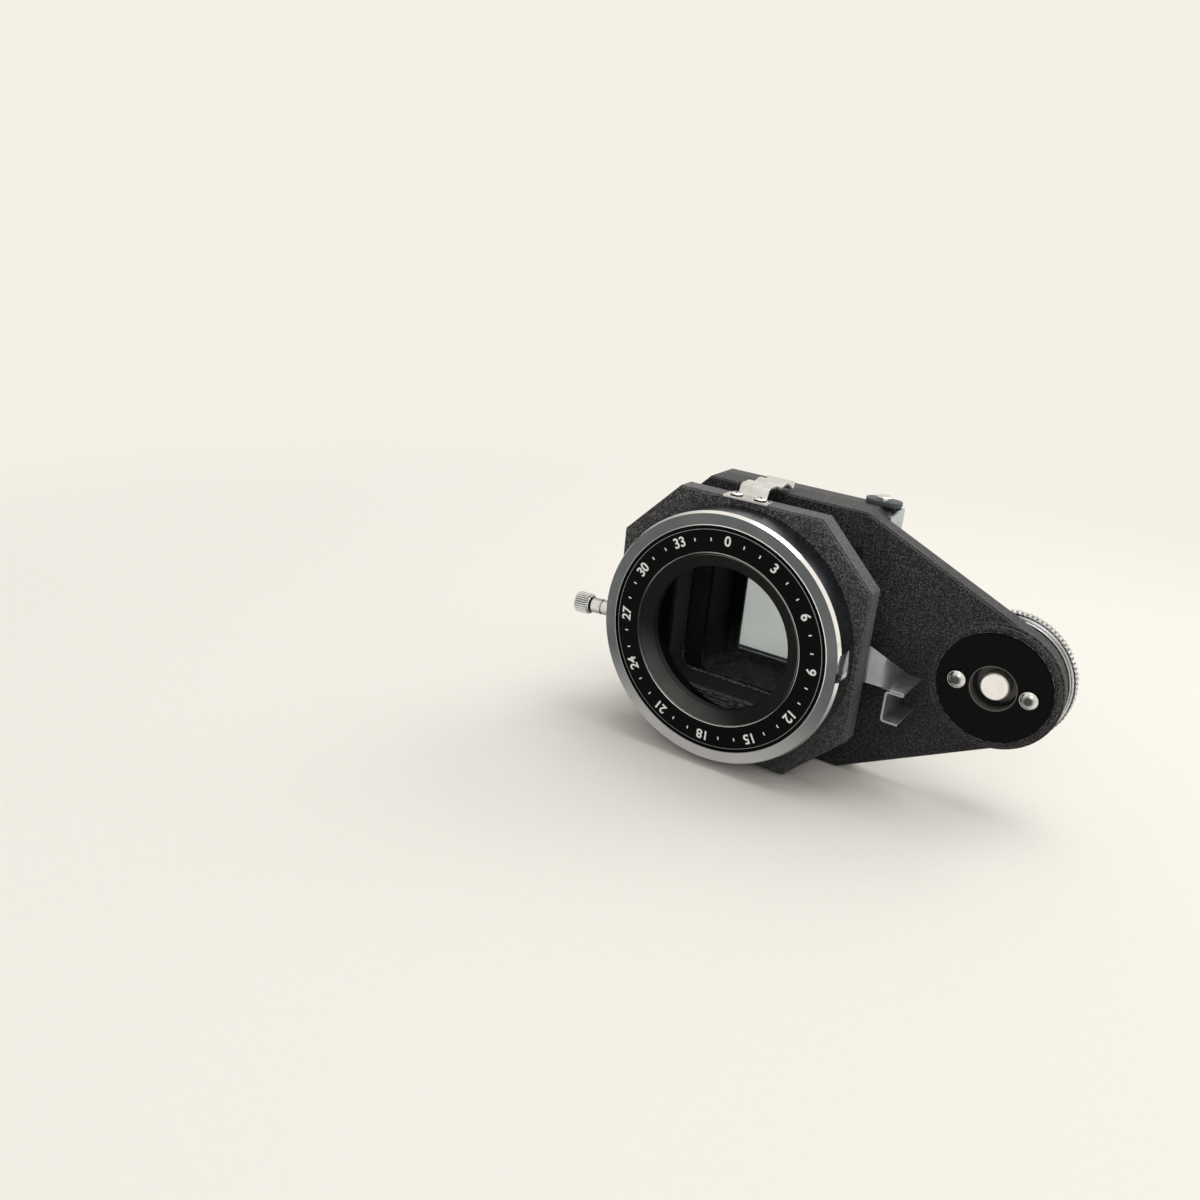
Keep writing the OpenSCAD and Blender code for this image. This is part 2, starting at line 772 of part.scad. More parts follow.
module arm_plate() {
    web = 3;
    color("#262626")
        difference() {
            union() {
                slab(plate_y + edge, web - edge)
                    plate_outline();
                slab(plate_y, edge + weld)
                    plate_outline(edge / 2);
                // rim round the arm and head, open at the back
                slab(plate_y + web - weld, arm_thick - web + weld)
                    difference() {
                        plate_outline();
                        plate_outline(cast_wall);
                    }
                slab(arm_back - weld, cover_y - arm_back + weld)
                    difference() {
                        head_outline();
                        head_outline(cast_wall);
                    }
                // wall between the head and the hollow arm
                slab(plate_y + web - weld, cover_y - plate_y - web + weld)
                    translate([cover_half - cast_wall, -foot_drop + 1])
                        square([cast_wall, foot_drop + head_top - cover_half + head_right - 2]);
                // collar round the light sleeve
                slab(plate_y + web - weld, cover_y - plate_y - web - 0.5)
                    difference() {
                        round_rect(opening_w + 4, opening_h + 4, opening_corner + 2);
                        round_rect(opening_w, opening_h, opening_corner);
                    }
                for (p = post_points())
                    translate([p[0], 0, p[1]])
                        bar_y(post_d, plate_y + web - weld, cover_y - plate_y - web + weld);
                translate([arm_reach, 0, 0]) {
                    bar_y(2 * boss_r - 2 * boss_edge, boss_y, plate_y - boss_y + 1);
                    bar_y(2 * boss_r, boss_y + boss_edge, plate_y - boss_y - boss_edge + 1);
                    bar_y(2 * 9, plate_y + web - weld, arm_thick - web + weld);
                }
                // rib down the hollow arm
                slab(plate_y + web - weld, arm_thick - web - 0.6)
                    translate([cover_half - 1, -1])
                        square([arm_reach - cover_half - 6, 2]);
            }
            slab(plate_y - 1, head_depth + 2)
                round_rect(opening_w, opening_h, opening_corner);
            for (p = post_points())
                translate([p[0], 0, p[1]])
                    bar_y(cover_shank_d, cover_y - 5, 6);
            for (p = frame_corners())
                translate([p[0], 0, p[1]])
                    bar_y(frame_shank_d + 2 * run_fit, plate_y - 1, 3.2);
            translate([arm_reach, 0, 0]) {
                bar_y(pad_d + 0.2, boss_y - 1, 1 + pad_seat);
                bar_y(pad_hole_d, boss_y, plate_y + arm_bore_depth - boss_y);
                bar_y(rail_screw_d + 2 * run_fit, boss_y, arm_back - boss_y + 1);
                for (sx = [-1, 1])
                    translate([sx * pin_pitch / 2, 0, 0])
                        bar_y(pin_shank_d + 2 * run_fit, boss_y, pad_seat + pin_root + 1);
            }
        }
}

module rear_cover() {
    color("#3b3c3e")
        difference() {
            union() {
                slab(head_back - cover_plate, cover_plate - cover_edge)
                    cover_outline();
                slab(head_back - cover_edge - weld, cover_edge + weld)
                    cover_outline(cover_edge);
                slab(cover_y + run_fit, cover_depth - cover_plate)
                    difference() {
                        cover_outline();
                        cover_outline(cover_rim);
                    }
                for (p = post_points())
                    translate([p[0], 0, p[1]])
                        bar_y(post_d, cover_y + run_fit, 3);
            }
            slab(cover_y - 1, 7)
                round_rect(opening_w, opening_h, opening_corner);
            for (p = post_points())
                translate([p[0], 0, p[1]]) {
                    bar_y(cover_shank_d + 0.3, cover_y - 1, 8);
                    bar_y(cover_screw_d + 0.4, head_back - cover_screw_sink, 3);
                }
            for (p = channel_screw_points())
                translate(p)
                    rotate([0, 90, 0])
                        cylinder(d = channel_shank_d + 0.1, h = 10, center = true);
        }
}

module cover_screws() {
    color("#8f9092")
        for (p = post_points())
            translate([p[0], head_back - cover_screw_sink + face_gap, p[1]])
                rotate([-90, 0, 0])
                    pan_screw(cover_screw_d, cover_head_h, cover_shank_d - 2 * run_fit, cover_shank_l);
}

module light_sleeve() {
    color("#151515")
        slab(plate_y + 0.2, sleeve_end - plate_y - 0.2)
            difference() {
                round_rect(sleeve_w, sleeve_h, opening_corner);
                round_rect(sleeve_w - 2 * sleeve_t, sleeve_h - 2 * sleeve_t, opening_corner - sleeve_t);
            }
}

// ---- picture gate and slide holder ----

module gate_mask() {
    color("#111111")
        slab(sleeve_end + face_gap, mask_t - 2 * face_gap)
            difference() {
                round_rect(2 * mask_half_w, 2 * mask_half_h, 1);
                square([window_w, window_h], center = true);
            }
}

module gate_channel() {
    bend_r = 1.2;
    wall = 2 * flange_x - 2 * bend_r;
    wall_y = channel_y + sheet_t / 2;
    right_len = wall_y - bend_r - arm_back - 0.2;
    left_len = wall_y - bend_r - cover_y - 0.3;
    cover_cut = cover_half - head_left + head_left_chamfer;
    color("#c3c6c8")
        difference() {
            // bent round the back of the head: arm-side flange, wall, far flange
            translate([flange_x, arm_back + 0.2, flange_top])
                rotate([-90, 0, 90])
                    folded_sheet([
                        [right_len, 90, bend_r], [wall, 90, bend_r], [left_len, 0, 1]
                    ], sheet_t, flange_top + flange_half);
            // the wall's upper edge and far corner stay below the cover's outline
            slab(cover_y - 1, 12)
                polygon([
                    [-cover_half - 4, head_top - cover_cut - 6], [-cover_half + cover_cut - 2, flange_half],
                    [head_right - 2, flange_half], [head_right - 2, head_top + 4],
                    [-cover_half - 4, head_top + 4]
                ]);
            slab(channel_y - 1, 3)
                square([window_w + 0.4, window_h + 0.4], center = true);
            for (p = channel_screw_points())
                translate(p)
                    rotate([0, 90, 0])
                        cylinder(d = channel_shank_d + 0.2, h = 6, center = true);
            for (p = holder_points())
                translate([p[0], 0, p[1]])
                    bar_y(holder_shank_d + 0.2, channel_y - 1, 3);
        }
}

function channel_screw_points() = [
    for (sz = [-1, 1]) [flange_x + sheet_t / 2, cover_y + 1.5, sz * channel_screw_z]
];

module channel_screws() {
    color("#a9abad")
        for (p = channel_screw_points())
            translate([flange_x + sheet_t + face_gap, p[1], p[2]])
                rotate([0, 90, 0])
                    pan_screw(channel_screw_d, channel_head_h, channel_shank_d, channel_shank_l);
}

module holder_lug() {
    color("#2d2e30")
        difference() {
            union() {
                translate([lug_x - lug_l / 2 + lug_w / 2, lug_y - lug_w / 2, head_top + face_gap])
                    cube([lug_l - lug_w, lug_w, lug_t]);
                for (sx = [-1, 1])
                    translate([lug_x + sx * (lug_l - lug_w) / 2, lug_y, head_top + face_gap])
                        cylinder(d = lug_w, h = lug_t);
                // tail that turns down behind the cover and carries the holder's top edge
                translate([lug_x - lug_l / 2 + lug_w / 2, head_back + 2 * run_fit, head_top - lug_tail])
                    cube([lug_l - lug_w, lug_tail_t, lug_tail + lug_t]);
            }
            translate([lug_x, lug_screw_y, head_top - 1])
                cylinder(d = lug_shank_d + 0.2, h = 6);
        }
}

module lug_screw() {
    color("silver")
        translate([lug_x, lug_screw_y, head_top + lug_t + 2 * face_gap])
            pan_screw(lug_screw_d, lug_screw_h, lug_shank_d, lug_shank_l);
}

function holder_points() = [
    for (sx = [-1, 1], z = [holder_screw_low, holder_screw_high]) [sx * holder_screw_x, z]
];

module slide_holder() {
    color("#232323")
        difference() {
            union() {
                slab(holder_y + face_gap, holder_back - holder_y - face_gap)
                    translate([-holder_half, holder_low])
                        square([2 * holder_half, holder_high - holder_low]);
                // two knuckles for the diffuser door, each on a short arm
                for (sz = [-1, 1])
                    translate([hinge_x, hinge_y, sz * hinge_span - knuckle_len / 2]) {
                        cylinder(r = knuckle_r, h = knuckle_len);
                        translate([-knuckle_r + 0.4, holder_back - hinge_y - weld, 0])
                            cube([2 * knuckle_r - 0.8, hinge_y - holder_back, knuckle_len]);
                    }
            }
            // pocket for the slide mount, open at the top
            translate([-pocket_half, holder_y - 1, -pocket_half])
                cube([2 * pocket_half, slide_pocket + 1, 2 * pocket_half + pocket_open]);
            // light opening and thumb notch in the rear wall
            slab(holder_y - 1, 8)
                round_rect(2 * holder_light, 2 * holder_light, 2);
            translate([0, 0, holder_high])
                bar_y(thumb_d, holder_y - 1, 8);
            for (sz = [-1, 1])
                translate([hinge_x, hinge_y, sz * hinge_span - knuckle_len])
                    cylinder(r = door_pin_r + run_fit / 2, h = 2 * knuckle_len);
            // clearance for the door's own knuckle
            translate([hinge_x, hinge_y, -hinge_span + knuckle_len / 2])
                cylinder(r = knuckle_r + gap, h = 2 * hinge_span - knuckle_len);
            for (p = holder_points())
                translate([p[0], 0, p[1]])
                    bar_y(holder_shank_d + 2 * run_fit, holder_y - 1, 8);
            translate([-holder_half, catch_screw_y, door_catch_z])
                rotate([0, 90, 0])
                    cylinder(d = catch_shank_d + 2 * run_fit, h = 6, center = true);
        }
}

module holder_screws() {
    color("#8f9092")
        for (p = holder_points())
            translate([p[0], channel_y - face_gap, p[1]])
                rotate([90, 0, 0])
                    pan_screw(holder_screw_d, 0.9, holder_shank_d, holder_screw_l);
}

// Bowed strips on the pocket's rear wall that hold the slide forwards
module slide_springs() {
    color("#b5b7b8")
        for (sx = [-1, 1])
            translate([sx * spring_x - spring_w / 2, spring_seat_y - spring_t / 2, spring_low])
                rotate([-90, -90, 0])
                    folded_sheet([
                        [spring_end, -6, 20], [spring_run, 12, 10], [spring_run, -6, 20], [2, 0, 1]
                    ], spring_t, spring_w);
}

module spring_rivets() {
    color("#9c9ea0")
        for (sx = [-1, 1])
            translate([sx * spring_x, spring_seat_y - spring_t - face_gap, spring_low + spring_end / 2])
                rotate([90, 0, 0])
                    cylinder(d = spring_rivet_d, h = 0.4);
}

module diffuser_frame() {
    color("#2a2a2b")
        difference() {
            union() {
                slab(door_y, door_t)
                    round_rect(2 * door_half, 2 * door_half, 2);
                // hinge knuckle and its arm
                translate([hinge_x, hinge_y, -hinge_span + knuckle_len / 2 + gap])
                    cylinder(r = knuckle_r, h = 2 * hinge_span - knuckle_len - 2 * gap);
                translate([door_half - 1, hinge_y - 1.2, -hinge_span + knuckle_len / 2 + gap])
                    cube([hinge_x - door_half + 1, 2.4, 2 * hinge_span - knuckle_len - 2 * gap]);
            }
            slab(door_y - 1, door_t + 2)
                round_rect(2 * door_light, 2 * door_light, 1.5);
            slab(door_y + glass_lip, door_t)
                square([glass_size + 2 * glass_fit, glass_size + 2 * glass_fit], center = true);
            translate([hinge_x, hinge_y, -hinge_span])
                cylinder(r = door_pin_r + run_fit, h = 2 * hinge_span);
            // relief beside the holder's knuckles
            for (sz = [-1, 1])
                translate([hinge_x, hinge_y, sz * hinge_span - knuckle_len / 2 - gap])
                    cylinder(r = knuckle_r + gap, h = knuckle_len + 2 * gap);
            // finger notch on the free edge
            translate([-door_half, 0, 0])
                bar_y(finger_d, door_y + 2, 4);
        }
}

module opal_glass() {
    color("#e9ecea")
        slab(door_y + glass_lip + face_gap, glass_thick)
            square([glass_size, glass_size], center = true);
}

module glass_clips() {
    color("#b5b7b8")
        for (sz = [-1, 1])
            slab(door_y + door_t + face_gap, glass_clip_t)
                translate([0, sz * (glass_size / 2 + clip_over)])
                    round_rect(glass_clip_w, glass_clip_h, glass_clip_r);
}

module door_pin() {
    color("silver")
        translate([hinge_x, hinge_y, -hinge_span - knuckle_len / 2 - 0.5])
            union() {
                cylinder(r = door_pin_r, h = 2 * hinge_span + knuckle_len + 1);
                cylinder(r = door_pin_r + 0.5, h = 0.4);
            }
}

module door_catch() {
    turn_r = 0.8;
    lip = holder_half - door_half - turn_r - 0.1;
    color("#b5b7b8")
        difference() {
            // leaf on the holder's side, turned in to bear on the door's free edge
            translate([-holder_half - door_catch_t / 2 - face_gap, holder_back - 3.4, door_catch_z - door_catch_w / 2])
                rotate([0, 0, 90])
                    rotate([90, 0, 0])
                        mirror([0, 0, 1])
                            folded_sheet([[4.4, 90, turn_r], [lip, 0, 1]], door_catch_t, door_catch_w);
            translate([-holder_half, catch_screw_y, door_catch_z])
                rotate([0, 90, 0])
                    cylinder(d = catch_shank_d + 0.2, h = 4, center = true);
        }
}

module catch_screw() {
    color("#8f9092")
        translate([-holder_half - door_catch_t - 3 * face_gap, catch_screw_y, door_catch_z])
            rotate([0, -90, 0])
                pan_screw(2.6, 0.8, catch_shank_d, 3);
}

// ---- rail mount ----

module rail_pad() {
    color("#0d0d0e")
        translate([arm_reach, 0, 0])
            difference() {
                union() {
                    bar_y(pad_d, pad_y + 0.4, pad_t - 0.4 - face_gap);
                    bar_y(pad_d - 0.8, pad_y, 1);
                }
                bar_y(pad_hole_d, pad_y - 1, pad_t + 3);
                for (sx = [-1, 1])
                    translate([sx * pin_pitch / 2, 0, 0]) {
                        bar_y(pin_d + 2 * run_fit, pad_y - 1, 1 + pin_seat);
                        bar_y(pin_shank_d + 2 * run_fit, pad_y - 1, pad_t + 3);
                    }
            }
}

// Each pin is a domed head seated in the pad, with a shank that goes on into the arm
module guide_pins() {
    dome = 1;
    head_l = pin_height + pin_seat - face_gap;
    color("silver")
        for (sx = [-1, 1])
            translate([arm_reach + sx * pin_pitch / 2, pad_y - pin_height, 0])
                union() {
                    intersection() {
                        bar_y(pin_d, 0, head_l);
                        translate([0, pin_d * 0.62, 0])
                            sphere(r = pin_d * 0.62);
                    }
                    bar_y(pin_d, dome, head_l - dome);
                    bar_y(pin_shank_d, dome, pin_height + pad_t + pin_root - dome);
                }
}

module rail_screw() {
    tip = 1.3;
    groove_y = plate_y + arm_bore_depth - clip_t - 0.15;
    color("silver")
        translate([arm_reach, 0, 0])
            difference() {
                union() {
                    translate([0, screw_tip_y, 0])
                        rotate([-90, 0, 0])
                            cylinder(d1 = rail_screw_d - 2.2, d2 = rail_screw_d, h = tip);
                    bar_y(rail_screw_d, screw_tip_y + tip - weld, knob_y + 2 - screw_tip_y - tip);
                    bar_y(rail_screw_d - 1.6, knob_y + 2 - 2 * weld, knob_len - 3.8);
                }
                // groove for the retaining clip
                translate([0, groove_y, 0])
                    rotate([-90, 0, 0])
                        difference() {
                            cylinder(d = rail_screw_d + 2, h = clip_t + 0.1);
                            translate([0, 0, -1])
                                cylinder(d = rail_screw_d - 1.2, h = 3);
                        }
                bar_y(knob_shank_d + 2 * run_fit, knob_y - 1, knob_len);
            }
}

module screw_clip() {
    clip_y = plate_y + arm_bore_depth - clip_t - 0.1;
    color("#77797b")
        translate([arm_reach, 0, 0])
            difference() {
                bar_y(pad_hole_d - 1, clip_y, clip_t);
                bar_y(rail_screw_d - 1.1, clip_y - 1, clip_t + 2);
                translate([-1.4, clip_y - 1, -pad_hole_d])
                    cube([2.8, 3, pad_hole_d]);
            }
}

module knob_washer() {
    color("silver")
        translate([arm_reach, 0, 0])
            slab(arm_back + 0.03, washer_t)
                difference() {
                    circle(r = washer_r);
                    circle(d = rail_screw_d + 0.3);
                }
}

module rail_knob() {
    grip_y = knob_y + knob_flange_t;
    grip_l = knob_len - knob_flange_t;
    cup = 1.6;
    color("#c9cbcd")
        translate([arm_reach, 0, 0])
            difference() {
                union() {
                    bar_y(2 * knob_flange_r - 0.8, knob_y, 0.5);
                    bar_y(2 * knob_flange_r, knob_y + 0.4, knob_flange_t);
                    slab(grip_y, grip_l - 0.6)
                        knurl_disc(knob_d / 2, 0.45, knob_ridges);
                    translate([0, grip_y + grip_l - 0.6 - weld, 0])
                        rotate([-90, 0, 0])
                            cylinder(d1 = knob_d - 1, d2 = knob_d - 2.4, h = 0.6);
                }
                // dished back face round the hub
                translate([0, knob_y + knob_len, 0])
                    rotate([90, 0, 0])
                        difference() {
                            cylinder(r1 = knob_d / 2 - 3, r2 = knob_d / 2 - 4, h = cup);
                            translate([0, 0, -1])
                                cylinder(r = knob_hub_r, h = cup + 2);
                        }
                bar_y(rail_screw_d - 1.5, knob_y - 1, knob_len);
                bar_y(rail_screw_d + 0.1, knob_y - 1, 3);
                bar_y(knob_screw_d + 0.3, knob_y + knob_len - knob_sink, 3);
            }
}

module knob_screw() {
    color("#9fa1a3")
        translate([arm_reach, knob_y + knob_len - knob_sink + face_gap, 0])
            rotate([-90, 0, 0])
                pan_screw(knob_screw_d, 1.4, knob_shank_d, knob_len - 1.2);
}

lens_ring();
adapter_ring();
ring_nut();
clamp_screw();
lens_board();
front_bellows_frame();
front_frame_screws();
bellows();
rear_bellows_frame();
rear_frame_screws();
top_latch();
latch_screws();
side_catch();
catch_rivets();
arm_plate();
rear_cover();
cover_screws();
light_sleeve();
gate_mask();
gate_channel();
channel_screws();
holder_lug();
lug_screw();
slide_holder();
holder_screws();
slide_springs();
spring_rivets();
diffuser_frame();
opal_glass();
glass_clips();
door_pin();
door_catch();
catch_screw();
rail_pad();
guide_pins();
rail_screw();
screw_clip();
knob_washer();
rail_knob();
knob_screw();
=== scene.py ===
"""Finish, fine detail and studio for a slide duplicator head, built round its fixed frame."""

import json
import logging
import math
from dataclasses import dataclass, field
from enum import Enum

import bpy
from mathutils import Matrix, Quaternion, Vector

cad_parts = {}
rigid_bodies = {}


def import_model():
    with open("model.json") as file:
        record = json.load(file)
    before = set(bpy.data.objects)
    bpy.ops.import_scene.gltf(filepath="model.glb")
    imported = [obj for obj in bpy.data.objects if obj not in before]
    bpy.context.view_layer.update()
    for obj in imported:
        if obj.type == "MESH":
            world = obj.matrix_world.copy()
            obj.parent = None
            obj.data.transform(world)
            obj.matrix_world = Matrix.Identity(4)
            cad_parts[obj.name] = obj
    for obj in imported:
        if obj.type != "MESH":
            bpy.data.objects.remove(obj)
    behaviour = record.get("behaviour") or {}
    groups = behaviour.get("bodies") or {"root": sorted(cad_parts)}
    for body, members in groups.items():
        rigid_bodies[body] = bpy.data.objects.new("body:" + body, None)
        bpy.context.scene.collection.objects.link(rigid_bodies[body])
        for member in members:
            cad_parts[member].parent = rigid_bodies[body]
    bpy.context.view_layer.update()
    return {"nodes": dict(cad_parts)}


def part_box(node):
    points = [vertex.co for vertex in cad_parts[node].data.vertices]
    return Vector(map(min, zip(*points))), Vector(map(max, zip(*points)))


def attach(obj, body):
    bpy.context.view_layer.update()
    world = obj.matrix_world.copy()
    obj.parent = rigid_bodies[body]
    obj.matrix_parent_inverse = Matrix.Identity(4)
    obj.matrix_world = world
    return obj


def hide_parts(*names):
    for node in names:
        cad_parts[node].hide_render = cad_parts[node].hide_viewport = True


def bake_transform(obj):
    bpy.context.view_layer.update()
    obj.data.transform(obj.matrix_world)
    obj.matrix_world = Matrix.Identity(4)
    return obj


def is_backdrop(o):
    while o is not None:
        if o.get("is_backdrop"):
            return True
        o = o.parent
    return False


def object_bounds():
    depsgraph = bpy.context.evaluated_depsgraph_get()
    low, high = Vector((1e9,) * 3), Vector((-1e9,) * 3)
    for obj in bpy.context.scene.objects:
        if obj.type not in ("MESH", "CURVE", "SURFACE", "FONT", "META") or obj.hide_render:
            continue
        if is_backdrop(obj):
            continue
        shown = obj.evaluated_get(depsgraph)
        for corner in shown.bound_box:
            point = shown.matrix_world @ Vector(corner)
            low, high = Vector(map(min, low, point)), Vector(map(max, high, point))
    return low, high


LOG = logging.getLogger("slide_duplicator")
MM = 0.001
Colour = tuple[float, float, float]


class Grain(Enum):
    """How a metal surface was worked."""

    DRAWN = "drawn"
    PLAIN = "plain"


# ---------------------------------------------------------------- shader maths


class Signal:
    """A shader value that Python operators turn into Math nodes."""

    def __init__(self, graph: "Graph", socket: bpy.types.NodeSocket) -> None:
        """Keeps the graph that the value belongs to and the socket that gives it."""
        self.graph = graph
        self.socket = socket

    def _math(self, operation: str, *values: "Signal | float") -> "Signal":
        """Adds one Math node.

        Args:
            operation: The Math node's operation.
            values: Its inputs in order.

        Returns:
            The node's result.
        """
        made = self.graph.node("ShaderNodeMath", {"operation": operation}, dict(enumerate(values)))
        return Signal(self.graph, made.outputs[0])

    def __add__(self, other: "Signal | float") -> "Signal":
        """Sum."""
        return self._math("ADD", self, other)

    __radd__ = __add__

    def __sub__(self, other: "Signal | float") -> "Signal":
        """Difference."""
        return self._math("SUBTRACT", self, other)

    def __rsub__(self, other: float) -> "Signal":
        """Difference from a number."""
        return self._math("SUBTRACT", other, self)

    def __mul__(self, other: "Signal | float") -> "Signal":
        """Product."""
        return self._math("MULTIPLY", self, other)

    __rmul__ = __mul__

    def __abs__(self) -> "Signal":
        """Size without its sign."""
        return self._math("ABSOLUTE", self)

    def sine(self) -> "Signal":
        """Sine of the value in radians."""
        return self._math("SINE", self)

    def wave(self, pitch: float) -> "Signal":
        """Even ridges from 0 to 1, one in each pitch of the value."""
        return (self * (2 * math.pi / pitch)).sine() * 0.5 + 0.5

    def reach(self, other: "Signal") -> "Signal":
        """Length of the line whose two legs are the values."""
        return self._math("POWER", self * self + other * other, 0.5)

    def above(self, limit: float) -> "Signal":
        """1 where the value is over the limit, 0 elsewhere."""
        return self._math("GREATER_THAN", self, limit)

    def within(self, low: float, high: float) -> "Signal":
        """1 where the value lies between two limits, 0 elsewhere."""
        return self.above(low) * (1 - self.above(high))

    def least(self, other: "Signal | float") -> "Signal":
        """The smaller of two values."""
        return self._math("MINIMUM", self, other)

    def most(self, other: "Signal | float") -> "Signal":
        """The larger of two values."""
        return self._math("MAXIMUM", self, other)

    def ramp(self, low: float, high: float, start: float = 0.0, end: float = 1.0) -> "Signal":
        """Smooth step.

        Args:
            low: Value at which the step begins.
            high: Value at which the step ends.
            start: Result at and below low.
            end: Result at and above high.

        Returns:
            The stepped value.
        """
        made = self.graph.node(
            "ShaderNodeMapRange",
            {"interpolation_type": "SMOOTHSTEP", "clamp": True},
            {0: self, 1: low, 2: high, 3: start, 4: end},
        )
        return Signal(self.graph, made.outputs[0])


class Graph:
    """The node tree of one material, or of the surroundings."""

    def __init__(self, owner: bpy.types.Material | bpy.types.World) -> None:
        """Empties the owner's tree and adds its output node and Object coordinates."""
        owner.use_nodes = True
        self.tree = owner.node_tree
        self.tree.nodes.clear()
        is_world = isinstance(owner, bpy.types.World)
        kind = "ShaderNodeOutputWorld" if is_world else "ShaderNodeOutputMaterial"
        self.output = self.node(kind)
        self.place = self.node("ShaderNodeTexCoord").outputs["Object"]

    def node(
        self,
        kind: str,
        settings: dict[str, object] | None = None,
        inputs: dict[int | str, object] | None = None,
    ) -> bpy.types.ShaderNode:
        """Adds a node, sets it up and joins its inputs.

        Args:
            kind: The node's type name.
            settings: Node properties, set before the inputs.
            inputs: A value, socket or Signal for each named or numbered input.

        Returns:
            The new node.
        """
        made = self.tree.nodes.new(kind)
        for key, value in (settings or {}).items():
            setattr(made, key, value)
        for key, value in (inputs or {}).items():
            self.join(made.inputs[key], value)
        return made

    def join(self, target: bpy.types.NodeSocket, value: object) -> None:
        """Links or sets one input."""
        if isinstance(value, Signal):
            value = value.socket
        if isinstance(value, bpy.types.NodeSocket):
            self.tree.links.new(value, target)
        else:
            target.default_value = value

    def axis(self, which: int) -> Signal:
        """One of the Object coordinates, 0 for X, 1 for Y and 2 for Z."""
        split = self.node("ShaderNodeSeparateXYZ", inputs={0: self.place})
        return Signal(self, split.outputs[which])

    def radius(self, x: float, z: float) -> Signal:
        """Distance from a line along Y, in metres.

        Args:
            x: The line's place along X in metres.
            z: The line's place along Z in metres.

        Returns:
            The distance.
        """
        return (self.axis(0) - x).reach(self.axis(2) - z)

    def noise(
        self,
        size: float,
        detail: float = 2.0,
        rough: float = 0.5,
        stretch: tuple[float, float, float] = (1.0, 1.0, 1.0),
    ) -> Signal:
        """Soft noise.

        Args:
            size: Width of one feature in metres.
            detail: Octaves of finer noise.
            rough: Strength of the finer noise.
            stretch: Factor on the coordinates along each axis.

        Returns:
            The noise, about 0 to 1.
        """
        placed = self.node(
            "ShaderNodeMapping", {"vector_type": "POINT"}, {"Vector": self.place, "Scale": stretch}
        )
        made = self.node(
            "ShaderNodeTexNoise",
            {"noise_dimensions": "3D"},
            {"Vector": placed.outputs[0], "Scale": 1 / size, "Detail": detail, "Roughness": rough},
        )
        return Signal(self, made.outputs[0])

    def mixed(
        self, factor: Signal, low: Colour | bpy.types.NodeSocket, high: Colour
    ) -> bpy.types.NodeSocket:
        """Colour that runs from low to high.

        Args:
            factor: 0 for low, 1 for high.
            low: First colour, or the socket that gives it.
            high: Second colour, or the socket that gives it.

        Returns:
            The mixed colour.
        """
        made = self.node("ShaderNodeMix", {"data_type": "RGBA", "clamp_factor": True})
        for name, value in (("Factor", factor), ("A", low), ("B", high)):
            if isinstance(value, tuple):
                value = (*value, 1.0)
            self.join(next(i for i in made.inputs if i.name == name and i.enabled), value)
        return next(o for o in made.outputs if o.enabled)

    def edge_wear_and_highlight(self, width: float) -> Signal:
        """1 on sharp outer edges, 0 on flat ground. The finishes lighten it as wear and as a
        painted highlight along the edges.

        Args:
            width: Width of the edge in metres.

        Returns:
            How much of an edge the place is.
        """
        soft = self.node("ShaderNodeBevel", {"samples": 4}, {"Radius": width})
        flat = self.node("ShaderNodeNewGeometry")
        turn = self.node(
            "ShaderNodeVectorMath",
            {"operation": "DOT_PRODUCT"},
            {0: soft.outputs[0], 1: flat.outputs["Normal"]},
        )
        return (1 - Signal(self, turn.outputs["Value"])).ramp(0.02, 0.14)

    def facing(self, which: int) -> Signal:
        """How far the surface turns along one axis, -1 to 1."""
        turned = self.node("ShaderNodeNewGeometry")
        split = self.node("ShaderNodeSeparateXYZ", inputs={0: turned.outputs["Normal"]})
        return Signal(self, split.outputs[which])

    def relief(self, height: Signal, depth: float, round_edge: float = 0.0) -> bpy.types.NodeSocket:
        """Bumps the surface.

        Args:
            height: Height pattern, about 0 to 1.
            depth: Height of a full step in metres.
            round_edge: Radius at which sharp edges look rounded, in metres.

        Returns:
            The bumped normal.
        """
        shape = {"Height": height, "Distance": depth, "Strength": 1.0}
        made = self.node("ShaderNodeBump", inputs=shape)
        if round_edge > 0:
            soft = self.node("ShaderNodeBevel", {"samples": 4}, {"Radius": round_edge})
            self.join(made.inputs["Normal"], soft.outputs[0])
        return made.outputs[0]

    def shown(self, factor: Signal | float, first: bpy.types.Node, second: bpy.types.Node) -> None:
        """Shows the first shader where the factor is 0 and the second where it is 1."""
        both = {0: factor, 1: first.outputs[0], 2: second.outputs[0]}
        made = self.node("ShaderNodeMixShader", inputs=both)
        self.join(self.output.inputs["Surface"], made.outputs[0])

    def surface(self, **inputs: object) -> bpy.types.ShaderNode:
        """Adds the Principled shader and joins it to the output."""
        named = {
            key.replace("_", " ").title().replace("Ior", "IOR"): value
            for key, value in inputs.items()
        }
        made = self.node("ShaderNodeBsdfPrincipled", inputs=named)
        self.join(self.output.inputs["Surface"], made.outputs[0])
        return made


# ---------------------------------------------------------------- finishes


@dataclass(frozen=True)
class Finish:
    """A surface finish, made once as a material and shared by what wears it."""

    name: str

    def build(self) -> bpy.types.Material:
        """Makes the finish.

        Returns:
            Its material.
        """
        made = bpy.data.materials.new(self.name)
        self.paint(Graph(made))
        return made

    def paint(self, g: Graph) -> None:
        """Draws the finish's nodes.

        Args:
            g: The material's empty node tree.
        """
        raise NotImplementedError


